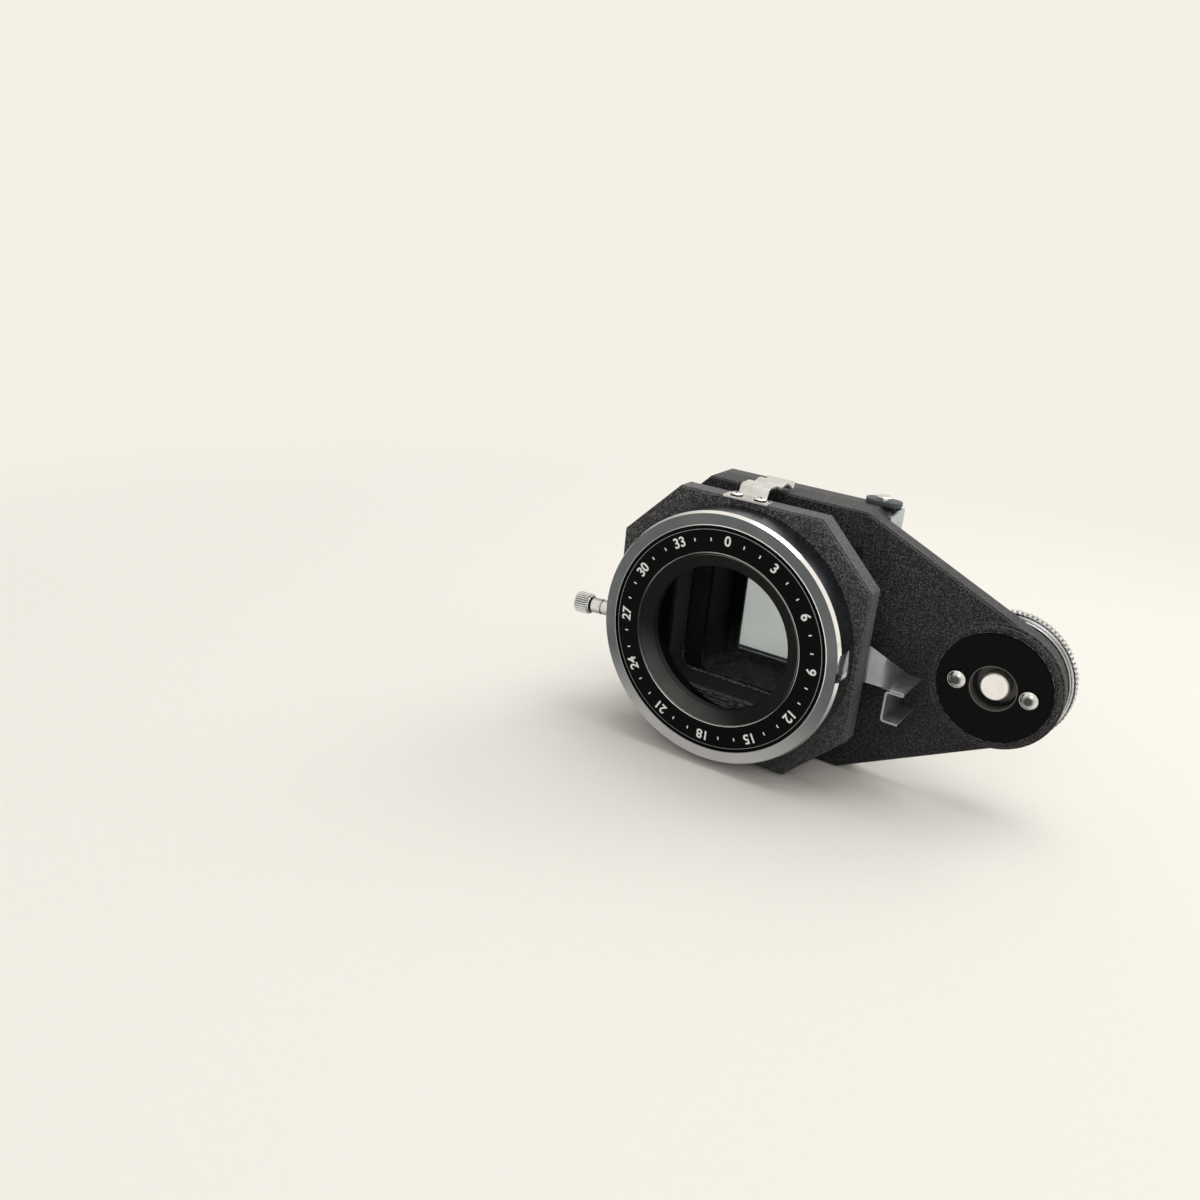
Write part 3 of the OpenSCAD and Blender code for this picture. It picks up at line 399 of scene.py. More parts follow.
@dataclass(frozen=True)
class CrinkleEnamel(Finish):
    """Black wrinkle paint on the castings, worn on the edges, with painted light: crests and specks
    lighter as a painted sheen, tops, sides and upper parts lighter, painted highlights on the edges
    and the boss ring, and painted shade in the throat.
    """

    valley: Colour
    crest: Colour
    # rub: the colour towards which edges lighten, for wear and for a painted highlight
    rub: Colour = (0.24, 0.245, 0.25)
    wrinkle: float = 0.46 * MM
    depth: float = 0.07 * MM
    edge_radius: float = 0.4 * MM
    throat: float = 25.6 * MM
    throat_front: float = 20.0 * MM
    boss_at: float = 64.0 * MM
    boss_inner: float = 14.25 * MM
    boss_outer: float = 16.6 * MM

    def paint(self, g: Graph) -> None:
        """Draws the nodes."""
        coarse = g.noise(self.wrinkle, detail=3.0, rough=0.75)
        grain = g.noise(self.wrinkle * 0.4, detail=2.0, rough=0.6)
        # ridge and speck: wrinkle crests and specks lighter in colour, a painted sheen on the black
        # paint
        ridge = (coarse * 0.5 + grain * 0.5).ramp(0.47, 0.64)
        speck = grain.ramp(0.6, 0.74)
        front = abs(g.facing(1)).ramp(0.6, 0.95)
        drift = g.noise(11 * MM, detail=2.0).ramp(0.3, 0.7, 0.75, 1.0)
        # height: lighter towards the top and darker towards the bottom, a painted light from above
        height = g.axis(2).ramp(-32 * MM, 34 * MM, 0.55, 1.25)
        # inside: the throat, darkened by 0.8 below as painted shade
        inside = (1 - abs(g.axis(0)).above(self.throat)) * (1 - abs(g.axis(2)).above(self.throat))
        inside = inside * g.axis(1).above(self.throat_front)
        boss = g.radius(self.boss_at, 0.0).within(self.boss_inner, self.boss_outer)
        edge = g.edge_wear_and_highlight(0.28 * MM)
        # (1 - front) * 0.14 lightens tops and sides, a painted light
        ground = (ridge * 0.55 + speck * 0.5) * (front * 0.3 + 0.7) + (1 - front) * 0.14
        # boss speckle: a painted highlight on the ring round the pad
        ground = ground + boss * grain.ramp(0.5, 0.7) * 0.25
        shade = ground * drift * height * (1 - inside * 0.8)
        base = g.mixed(shade.least(1.0), self.valley, self.crest)
        g.surface(
            # edges lighten towards rub: wear and a painted edge highlight
            base_color=g.mixed(edge * 0.5 * (1 - inside), base, self.rub),
            roughness=ridge.ramp(0.0, 1.0, 0.62, 0.46),
            specular_ior_level=0.14,
            normal=g.relief(ridge, self.depth, self.edge_radius),
        )


@dataclass(frozen=True)
class SmoothEnamel(Finish):
    """Sprayed enamel, from satin to dead matt."""

    colour: Colour
    # edge: the colour towards which edges lighten, for wear and for a painted highlight
    edge: Colour
    gloss: float = 0.42
    orange_peel: float = 0.006 * MM

    def paint(self, g: Graph) -> None:
        """Draws the nodes."""
        peel = g.noise(0.5 * MM, detail=2.0)
        rub = g.noise(6 * MM, detail=4.0, rough=0.6).ramp(0.42, 0.7)
        edge = g.edge_wear_and_highlight(0.25 * MM)
        g.surface(
            # edges lighten towards edge: wear and a painted edge highlight
            base_color=g.mixed((edge * 0.75 + rub * 0.12).least(1.0), self.colour, self.edge),
            roughness=rub.ramp(0.0, 1.0, self.gloss, self.gloss + 0.12),
            specular_ior_level=0.16,
            normal=g.relief(peel, self.orange_peel, 0.2 * MM),
        )


@dataclass(frozen=True)
class PlatedMetal(Finish):
    """Chrome, steel or zinc plate over drawn or plain metal."""

    colour: Colour
    roughness: float = 0.2
    grain: Grain = Grain.PLAIN
    line: float = 0.12 * MM
    depth: float = 0.002 * MM
    haze: float = 0.08
    edge_radius: float = 0.12 * MM

    def paint(self, g: Graph) -> None:
        """Draws the nodes."""
        if self.grain is Grain.DRAWN:
            pattern = g.noise(self.line * 4, detail=3.0, rough=0.7, stretch=(1.0, 0.04, 1.0))
        else:
            pattern = g.noise(0.8 * MM, detail=3.0, rough=0.6)
        smear = g.noise(5 * MM, detail=4.0, rough=0.6).ramp(0.4, 0.72)
        dark = tuple(c * 0.72 for c in self.colour)
        g.surface(
            base_color=g.mixed((smear * 0.35 + pattern * 0.25).least(1.0), self.colour, dark),
            metallic=1.0,
            roughness=smear.ramp(0.0, 1.0, self.roughness, self.roughness + self.haze),
            normal=g.relief(pattern, self.depth, self.edge_radius),
        )


@dataclass(frozen=True)
class RingChrome(Finish):
    """The clamp ring: satin front face, lighter towards the bottom as painted light, edges with a
    painted highlight towards the upper right, and a polished barrel.
    """

    name: str = "clamp_ring_chrome"
    face: Colour = (0.11, 0.125, 0.135)
    face_lit_low: Colour = (0.6, 0.61, 0.62)
    barrel: Colour = (0.15, 0.165, 0.19)
    flat: Colour = (0.24, 0.255, 0.275)
    bright: Colour = (0.93, 0.935, 0.94)
    plain: Colour = (0.34, 0.35, 0.36)
    black: Colour = (0.004, 0.004, 0.004)
    bore: float = 30.0 * MM
    inner_line: float = 0.22 * MM
    bevel: float = 0.5 * MM

    def paint(self, g: Graph) -> None:
        """Draws the nodes."""
        _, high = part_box("lens_ring")
        away = g.radius(0.0, 0.0)
        front = 1 - g.axis(1).above(0.05 * MM)
        front = front * away.within(self.bore + self.inner_line, high.z - self.bevel)
        side = away.above(high.z - 0.2 * MM) * g.axis(1).above(1.25 * MM)
        rings = away.wave(0.14 * MM)
        smear = g.noise(14 * MM, detail=3.0, rough=0.5).ramp(0.35, 0.75)
        # low: the face lighter towards the bottom, a painted light
        low = (0 - g.axis(2) - abs(g.axis(0)) * 0.3).ramp(-2 * MM, 30 * MM)
        turned = g.mixed(low, self.face, self.face_lit_low)
        satin = g.mixed(smear * 0.2 + rings * 0.12, turned, (0.3, 0.31, 0.32))
        # lit: the edges bright towards the upper right and plain elsewhere, a painted highlight
        lit = (g.axis(0) * 0.62 + g.axis(2) * 0.78).ramp(8 * MM, 24 * MM)
        edges = g.mixed(lit, self.plain, self.bright)
        milled = g.facing(0).above(0.985) * g.axis(1).above(1.25 * MM)
        polish = g.mixed(milled, g.mixed(side, edges, self.barrel), self.flat)
        outside = g.mixed(front, polish, satin)
        inside = 1 - away.above(self.bore - 0.2 * MM)
        brushed = (side + milled * 0.8).least(1.0)
        g.surface(
            base_color=g.mixed(inside, outside, self.black),
            metallic=1 - inside,
            roughness=front * 0.2 + smear * 0.04 + inside * 0.6 + brushed * 0.12 + 0.12,
            specular_ior_level=0.1,
            normal=g.relief(rings * 0.6 + g.noise(0.3 * MM) * 0.4, 0.0008 * MM),
        )


@dataclass(frozen=True)
class AdapterLacquer(Finish):
    """The adapter ring: gloss black face, bare metal lines whose glints at the seat's edge are
    painted highlights, and painted light on the lower left of the slope inside the seat.
    """

    name: str = "adapter_lacquer"
    black: Colour = (0.0026, 0.0026, 0.0028)
    # slope: the colour of a painted light on the lower left of the seat's slope
    slope: Colour = (0.095, 0.094, 0.091)
    # bare: bare metal for the step's line, and the colour of the painted glints at the seat
    bare: Colour = (0.56, 0.57, 0.58)
    seat_radius: float = 22.9 * MM
    step_radius: float = 29.05 * MM

    def paint(self, g: Graph) -> None:
        """Draws the nodes."""
        away = g.radius(0.0, 0.0)
        depth = g.axis(1)
        # upright and slant place painted glints: the seat's edge line is bright at top and bottom,
        # and finer lines shine at the upper right
        upright = abs(g.axis(2)).ramp(4 * MM, 20 * MM, 0.1, 1.0)
        slant = (g.axis(0) + g.axis(2)).ramp(8 * MM, 24 * MM)
        lip, wall = self.seat_radius, self.step_radius
        seat = away.within(lip - 0.03 * MM, lip + 0.14 * MM) * upright
        seat = seat + away.within(lip + 0.14 * MM, lip + 0.3 * MM) * slant
        seat = seat + away.within(lip - 0.62 * MM, lip - 0.5 * MM) * slant * 0.5
        step = away.within(wall - 0.12 * MM, wall + 0.03 * MM) * (1 - depth.above(0.3 * MM))
        metal = (seat + step * 0.6).least(1.0)
        inside = depth.above(0.75 * MM) * (1 - away.above(self.seat_radius))
        # low: the slope lighter towards the lower left, a painted light
        low = (g.axis(0) * 0.6 + g.axis(2)).ramp(-27 * MM, -13 * MM, 1.0, 0.1)
        cloud = g.noise(6 * MM, detail=2.0).ramp(0.3, 0.7, 0.8, 1.0)
        dust = g.noise(0.5 * MM, detail=4.0, rough=0.7).ramp(0.64, 0.8)
        black = g.mixed(dust * 0.6, self.black, tuple(c * 2.5 for c in self.black))
        body = g.mixed(inside * low * cloud, black, self.slope)
        g.surface(
            base_color=g.mixed(metal, body, self.bare),
            metallic=metal,
            roughness=metal * 0.1 + inside * 0.16 + 0.24,
            specular_ior_level=0.045,
            normal=g.relief(g.noise(0.3 * MM), 0.001 * MM, 0.12 * MM),
        )


@dataclass(frozen=True)
class GlossLacquer(Finish):
    """The pad's deep gloss black, with polishing haze, dust, a chipped rim and a bare hole."""

    name: str = "gloss_lacquer"
    black: Colour = (0.0026, 0.0026, 0.0028)
    chipped: Colour = (0.26, 0.26, 0.26)
    hole_wall: Colour = (0.16, 0.145, 0.13)
    centre: float = 64.0 * MM
    hole: float = 5.62 * MM
    rim: float = 14.15 * MM

    def paint(self, g: Graph) -> None:
        """Draws the nodes."""
        dust = g.noise(0.35 * MM, detail=3.0, rough=0.7).ramp(0.66, 0.8)
        haze = g.noise(3 * MM, detail=4.0, rough=0.65).ramp(0.4, 0.75)
        away = g.radius(self.centre, 0.0)
        wall = 1 - away.above(self.hole)
        lip = away.within(self.hole, self.hole + 0.16 * MM)
        chips = g.noise(1.3 * MM, detail=4.0, rough=0.7).ramp(0.47, 0.6)
        rim = away.within(self.rim - 0.12 * MM, self.rim + 1 * MM) * (chips * 0.7 + 0.12)
        face = g.mixed(dust * 0.25, self.black, (0.12, 0.12, 0.12))
        worn = g.mixed((rim * 0.8 + lip * 0.55).least(1.0), face, self.chipped)
        rough_wall = g.noise(0.5 * MM, detail=4.0, rough=0.7).ramp(0.4, 0.62, 0.35, 1.0)
        g.surface(
            base_color=g.mixed(wall * rough_wall, worn, self.hole_wall),
            roughness=haze.ramp(0.0, 1.0, 0.16, 0.26) + wall * 0.4,
            specular_ior_level=0.06,
            normal=g.relief(g.noise(0.6 * MM), 0.001 * MM),
        )


@dataclass(frozen=True)
class PinChrome(Finish):
    """Turned chrome domes of the guide pins, with a painted dark reflection towards their centres.
    """

    name: str = "pin_chrome"
    rim: Colour = (0.72, 0.73, 0.72)
    # centre: a painted dark reflection in the middle of each dome
    centre: Colour = (0.07, 0.075, 0.075)
    pins: tuple[float, float] = (55.3 * MM, 72.7 * MM)
    dark: float = 0.75 * MM
    bright: float = 1.75 * MM

    def paint(self, g: Graph) -> None:
        """Draws the nodes."""
        away = g.radius(self.pins[0], 0.0).least(g.radius(self.pins[1], 0.0))
        rings = away.wave(0.16 * MM)
        g.surface(
            base_color=g.mixed(away.ramp(self.dark, self.bright), self.centre, self.rim),
            metallic=1.0,
            roughness=rings * 0.1 + 0.14,
            normal=g.relief(rings, 0.002 * MM),
        )


@dataclass(frozen=True)
class ScrewTip(Finish):
    """The rail screw: a bright faced tip and fine thread lines along its shank."""

    name: str = "screw_tip_chrome"
    bright: Colour = (0.93, 0.92, 0.92)
    shank: Colour = (0.5, 0.49, 0.48)
    centre: float = 64.0 * MM
    pitch: float = 0.55 * MM
    face_radius: float = 3.42 * MM

    def paint(self, g: Graph) -> None:
        """Draws the nodes."""
        away = g.radius(self.centre, 0.0)
        side = away.above(self.face_radius)
        thread = g.axis(1).wave(self.pitch)
        stain = g.noise(2 * MM, detail=3.0).ramp(0.4, 0.7)
        dull = (side * 0.55 + thread * side * 0.4 + stain * 0.1).least(1.0)
        g.surface(
            base_color=g.mixed(dull, self.bright, self.shank),
            metallic=1.0,
            roughness=side * 0.1 + stain * 0.08 + 0.3,
            normal=g.relief(thread * side, 0.12 * MM),
        )


@dataclass(frozen=True)
class OpalGlass(Finish):
    """White flashed glass that passes soft light from behind, and glows with a painted emission."""

    name: str = "opal_glass"
    white: Colour = (0.74, 0.77, 0.75)

    def paint(self, g: Graph) -> None:
        """Draws the nodes."""
        cloud = g.noise(9 * MM, detail=3.0).ramp(0.3, 0.7)
        tint = g.mixed(cloud, self.white, tuple(c * 0.94 for c in self.white))
        front = g.surface(
            base_color=tint,
            roughness=0.3,
            # emission: a painted glow for light from behind
            emission_color=tint,
            emission_strength=0.32,
        )
        through = g.node("ShaderNodeBsdfTranslucent", inputs={"Color": tint})
        g.shown(0.5, front, through)


@dataclass(frozen=True)
class BellowsCloth(Finish):
    """Black cloth with a fine weave and rubbing; crumbs, rubbing and edges show lighter only on
    upward faces low down, as painted light.
    """

    name: str = "bellows_cloth"
    colour: Colour = (0.0035, 0.0035, 0.0037)
    # worn: the light grey of crumbs, rubbing and edges, shown only where the painted light falls
    worn: Colour = (0.6, 0.6, 0.59)

    def paint(self, g: Graph) -> None:
        """Draws the nodes."""
        pitch = 2 * math.pi / (0.28 * MM)
        weave = (g.axis(0) * pitch).sine() * (g.axis(2) * pitch).sine() * 0.5 + 0.5
        rub = g.noise(2.2 * MM, detail=4.0, rough=0.65).ramp(0.42, 0.7)
        crumb = g.noise(0.8 * MM, detail=3.0, rough=0.75).ramp(0.44, 0.62)
        edge = g.edge_wear_and_highlight(0.3 * MM)
        # floor and up: upward faces low down lit, everything else held dark, a painted light
        floor = g.facing(2).ramp(-0.3, 0.3) * g.axis(2).ramp(-18 * MM, -12 * MM, 1.0, 0.0)
        up = floor * 0.98 + 0.02
        shade = (rub * 0.1 + crumb * 0.6 + edge * 0.3).least(1.0) * up
        g.surface(
            base_color=g.mixed(shade, self.colour, self.worn),
            roughness=0.82,
            specular_ior_level=0.05,
            normal=g.relief(weave * 0.4 + crumb * 0.6, 0.06 * MM),
        )


@dataclass(frozen=True)
class RibbedBlack(Finish):
    """Black inner walls: fine lines and grit round the square throat, shown lighter low down as
    painted light, and edges with wear and a painted highlight.
    """

    dark: Colour
    light: Colour
    line: float = 0.62 * MM
    lines: float = 0.4
    grit: float = 0.5 * MM
    drag: float = 0.3

    def paint(self, g: Graph) -> None:
        """Draws the nodes."""
        across, up = abs(g.axis(0)), abs(g.axis(2))
        round_throat = across + up - across.least(up)
        lines = (g.axis(1) + round_throat).wave(self.line)
        grit = g.noise(self.grit, detail=3.0, rough=0.7, stretch=(self.drag, 1.0, 1.0))
        grit = grit.ramp(0.42, 0.7)
        edge = g.edge_wear_and_highlight(0.25 * MM)
        # low: lighter towards the bottom of the throat, a painted light; edges take a painted
        # highlight, stronger low down
        low = (g.axis(2) + across * 0.45).ramp(-15 * MM, -2 * MM, 1.0, 0.0)
        shade = (lines * self.lines + grit * (1 - self.lines)) * low + edge * (low * 0.6 + 0.15)
        g.surface(
            base_color=g.mixed(shade.least(1.0), self.dark, self.light),
            roughness=0.55,
            specular_ior_level=0.06,
            normal=g.relief(lines, 0.04 * MM),
        )


@dataclass(frozen=True)
class KnobChrome(Finish):
    """The rail knob: polished plate, with shade in the valleys of its knurl."""

    name: str = "knob_chrome"
    bright: Colour = (0.78, 0.79, 0.8)
    valley: Colour = (0.1, 0.105, 0.11)
    centre: float = 64.0 * MM
    crest: float = 17.15 * MM
    knurl: float = 0.42 * MM

    def paint(self, g: Graph) -> None:
        """Draws the nodes."""
        away = g.radius(self.centre, 0.0)
        sunk = away.ramp(self.crest - self.knurl, self.crest - 0.1 * MM, 1.0, 0.0)
        sunk = sunk * away.above(self.crest - self.knurl * 1.6)
        rings = (away + g.axis(1)).wave(0.1 * MM)
        smear = g.noise(5 * MM, detail=4.0, rough=0.6).ramp(0.4, 0.72)
        shade = (sunk * 0.85 + smear * 0.15 + rings * 0.06).least(1.0)
        g.surface(
            base_color=g.mixed(shade, self.bright, self.valley),
            metallic=1.0,
            roughness=smear.ramp(0.0, 1.0, 0.2, 0.28),
            normal=g.relief(rings, 0.0015 * MM, 0.1 * MM),
        )


@dataclass(frozen=True)
class ThumbChrome(Finish):
    """The thumb screw's plate, with painted shade in its knurl and grooves and on faces turned
    down, and a painted dark reflection on faces turned up.
    """

    name: str = "thumb_chrome"
    bright: Colour = (0.8, 0.81, 0.82)
    valley: Colour = (0.045, 0.05, 0.055)
    tilt: float = 3.6
    along: float = 4.4 * MM
    neck: float = 2.0 * MM
    head_at: float = 40.6 * MM
    sunk: float = 2.58 * MM
    crest: float = 2.86 * MM

    def paint(self, g: Graph) -> None:
        """Draws the nodes."""
        turn = math.radians(self.tilt)
        over = g.axis(2) * math.cos(turn) - g.axis(0) * math.sin(turn)
        run = g.axis(0) * -math.cos(turn) - g.axis(2) * math.sin(turn)
        side = g.axis(1) - self.along
        away = over.reach(side)
        head = run.above(self.head_at)
        # groove: the knurl's valleys and the neck's grooves darkened, a painted shade
        groove = head * away.ramp(self.sunk, self.crest, 1.0, 0.0) * (1 - run.above(45.0 * MM))
        waist = away.ramp(self.neck - 0.25 * MM, self.neck + 0.08 * MM, 1.0, 0.0)
        groove = groove + (1 - head) * waist
        # painted shade on faces turned down, and a painted dark reflection on faces turned up
        under = g.facing(2).ramp(-0.85, 0.1, 0.75, 0.0) + g.facing(2).ramp(0.8, 0.95, 0.0, 0.5)
        smear = g.noise(2 * MM, detail=3.0, rough=0.6).ramp(0.4, 0.72)
        shade = (groove * (head * -0.3 + 0.9) + smear * 0.15 + under * (1 - head)).least(1.0)
        g.surface(
            base_color=g.mixed(shade, self.bright, self.valley),
            metallic=1.0,
            roughness=smear.ramp(0.0, 1.0, 0.14, 0.22),
            normal=g.relief(g.noise(0.3 * MM), 0.001 * MM, 0.08 * MM),
        )


@dataclass(frozen=True)
class DrawnSteel(Finish):
    """Satin sheet steel with drawn lines, bright on every edge from wear and a painted highlight.
    """

    grey: Colour
    edge: Colour
    gloss: float = 0.36

    def paint(self, g: Graph) -> None:
        """Draws the nodes."""
        drawn = g.noise(0.3 * MM, detail=2.0, rough=0.6, stretch=(0.12, 1.0, 1.0))
        smear = g.noise(4 * MM, detail=3.0, rough=0.6).ramp(0.35, 0.7)
        worn_and_lit_edge = g.edge_wear_and_highlight(0.2 * MM)
        body = g.mixed(smear * 0.35 + drawn * 0.2, self.grey, tuple(c * 1.5 for c in self.grey))
        g.surface(
            # edges lighten towards the edge colour: wear and a painted highlight
            base_color=g.mixed(worn_and_lit_edge, body, self.edge),
            metallic=0.9,
            roughness=smear.ramp(0.0, 1.0, self.gloss, self.gloss + 0.1) - worn_and_lit_edge * 0.12,
            normal=g.relief(drawn, 0.002 * MM),
        )


@dataclass(frozen=True)
class SlottedChrome(Finish):
    """Bright plate on the latch's screws, with painted shade in the slots and under the domes'
    rims.
    """

    name: str = "slotted_chrome"
    bright: Colour = (0.93, 0.93, 0.92)
    dark: Colour = (0.03, 0.03, 0.032)
    shade_top: float = 36.03 * MM

    def paint(self, g: Graph) -> None:
        """Draws the nodes."""
        lit = g.axis(2).ramp(self.shade_top - 0.05 * MM, self.shade_top)
        smear = g.noise(1.2 * MM, detail=3.0, rough=0.6).ramp(0.4, 0.7)
        g.surface(
            base_color=g.mixed(lit * (1 - smear * 0.2), self.dark, self.bright),
            metallic=1.0,
            roughness=smear.ramp(0.0, 1.0, 0.16, 0.28),
            normal=g.relief(smear, 0.004 * MM),
        )


@dataclass(frozen=True)
class WhitePaint(Finish):
    """White paint rubbed into engraved figures."""

    name: str = "figure_paint"
    white: Colour = (0.78, 0.78, 0.76)

    def paint(self, g: Graph) -> None:
        """Draws the nodes."""
        worn = g.noise(0.5 * MM, detail=4.0, rough=0.7).ramp(0.45, 0.75)
        g.surface(base_color=g.mixed(worn, self.white, (0.6, 0.6, 0.58)), roughness=0.55)


@dataclass(frozen=True)
class PaleSweep(Finish):
    """Plain pale paper that runs out into the backdrop's own colour."""

    name: str = "pale_paper"
    paper: Colour = (0.913, 0.871, 0.796)
    near: float = 0.16
    far: float = 0.42

    def paint(self, g: Graph) -> None:
        """Draws the nodes."""
        fibre = g.noise(2.0 * MM, detail=3.0).ramp(0.2, 0.8, 0.0, 1.0)
        tint = g.mixed(fibre, tuple(c * 0.985 for c in self.paper), self.paper)
        lit = g.node("ShaderNodeBsdfDiffuse", inputs={"Color": tint})
        plain = g.node("ShaderNodeEmission", inputs={"Color": (*self.paper, 1.0), "Strength": 1.0})
        path = g.node("ShaderNodeLightPath")
        seen = Signal(g, path.outputs["Is Camera Ray"])
        fade = g.axis(0).reach(g.axis(1)).ramp(self.near, self.far) * seen
        g.shown(fade, lit, plain)


# ---------------------------------------------------------------- modelling helpers


def deselect() -> None:
    """Leaves nothing selected, so an operator touches only what is added next."""
    if bpy.context.mode != "OBJECT":
        bpy.ops.object.mode_set(mode="OBJECT")
    bpy.ops.object.select_all(action="DESELECT")


def only(piece: bpy.types.Object) -> None:
    """Makes a piece the one selected and active object."""
    deselect()
    bpy.context.view_layer.objects.active = piece
    piece.select_set(True)


def settle(piece: bpy.types.Object, name: str, finish: bpy.types.Material) -> bpy.types.Object:
    """Names a piece, moves its place into its mesh and gives it one finish.

    Args:
        piece: The finished mesh object.
        name: The piece's name.
        finish: Its material.

    Returns:
        The same object.
    """
    only(piece)
    bpy.ops.object.transform_apply(location=True, rotation=True, scale=True)
    piece.name = name
    piece.data.name = name
    piece.data.materials.clear()
    piece.data.materials.append(finish)
    deselect()
    return piece


def apply_modifier(piece: bpy.types.Object, kind: str, **settings: object) -> None:
    """Adds one modifier, sets it and applies it.

    Args:
        piece: The object that takes the modifier.
        kind: The modifier's type.
        settings: Its properties.
    """
    bpy.context.view_layer.objects.active = piece
    made = piece.modifiers.new(kind.lower(), kind)
    for key, value in settings.items():
        setattr(made, key, value)
    bpy.ops.object.modifier_apply(modifier=made.name)


def open_mesh() -> None:
    """Enters edit mode on the active object, with all of it selected."""
    bpy.ops.object.mode_set(mode="EDIT")
    bpy.ops.mesh.select_all(action="SELECT")


def clear_mesh() -> None:
    """Leaves nothing selected inside the active object's mesh."""
    bpy.ops.object.mode_set(mode="EDIT")
    bpy.ops.mesh.select_all(action="DESELECT")
    bpy.ops.object.mode_set(mode="OBJECT")


def close_mesh() -> None:
    """Turns every face outwards and leaves edit mode."""
    bpy.ops.mesh.select_all(action="SELECT")
    bpy.ops.mesh.normals_make_consistent(inside=False)
    bpy.ops.object.mode_set(mode="OBJECT")


def rounded_plate(
    width: float, length: float, corner: float, segments: int, thick: float
) -> bpy.types.Object:
    """A flat plate with rounded corners that stands on the origin.

    Args:
        width: Size along X in metres.
        length: Size along Y in metres.
        corner: How far each corner is cut back, in metres.
        segments: Steps round each corner.
        thick: Height in metres.

    Returns:
        The mesh object.
    """
    deselect()
    bpy.ops.mesh.primitive_plane_add(size=1)
    plate = bpy.context.object
    plate.scale = (width, length, 1)
    bpy.ops.object.transform_apply(scale=True)
    open_mesh()
    bpy.ops.mesh.bevel(offset=corner, segments=segments, affect="VERTICES")
    bpy.ops.mesh.extrude_region_move(TRANSFORM_OT_translate={"value": (0, 0, thick)})
    close_mesh()
    return plate


def turned(profile: list[tuple[float, float]], sides: int = 48) -> bpy.types.Object:
    """Turns a closed solid about Z, ring by ring.

    Args:
        profile: Radius and height of each ring in millimetres, from one end to the other.
        sides: Points in each ring.

    Returns:
        The mesh object.
    """
    deselect()
    radius, height = profile[0]
    bpy.ops.mesh.primitive_circle_add(
        vertices=sides, radius=radius * MM, location=(0, 0, height * MM), fill_type="NGON"
    )
    piece = bpy.context.object
    bpy.ops.object.transform_apply(location=True)
    open_mesh()
    for (before, low), (after, high) in zip(profile, profile[1:]):
        rise = (0, 0, (high - low) * MM)
        bpy.ops.mesh.extrude_region_move(TRANSFORM_OT_translate={"value": rise})
        bpy.ops.transform.resize(value=(after / before, after / before, 1))
    close_mesh()
    return piece


def cut_with(piece: bpy.types.Object, cutter: bpy.types.Object) -> None:
    """Takes one solid away from another and deletes the first."""
    deselect()
    piece.select_set(True)
    apply_modifier(piece, "BOOLEAN", operation="DIFFERENCE", solver="EXACT", object=cutter)
    bpy.data.objects.remove(cutter, do_unlink=True)


def join(pieces: list[bpy.types.Object]) -> bpy.types.Object:
    """Joins meshes into the first of them."""
    deselect()
    for piece in pieces:
        piece.select_set(True)
    bpy.context.view_layer.objects.active = pieces[0]
    bpy.ops.object.join()
    return pieces[0]


def block(low: tuple[float, float, float], high: tuple[float, float, float]) -> bpy.types.Object:
    """A box between two corners given in millimetres."""
    deselect()
    middle = [(a + b) / 2 * MM for a, b in zip(low, high)]
    bpy.ops.mesh.primitive_cube_add(size=1, location=middle)
    made = bpy.context.object
    made.scale = [(b - a) * MM for a, b in zip(low, high)]
    bpy.ops.object.transform_apply(location=True, scale=True)
    return made


def smooth(piece: bpy.types.Object, degrees: float = 35.0) -> None:
    """Shades a piece smooth, apart from edges sharper than an angle."""
    only(piece)
    bpy.ops.object.shade_smooth_by_angle(angle=math.radians(degrees))
    deselect()


# ---------------------------------------------------------------- sub-assemblies


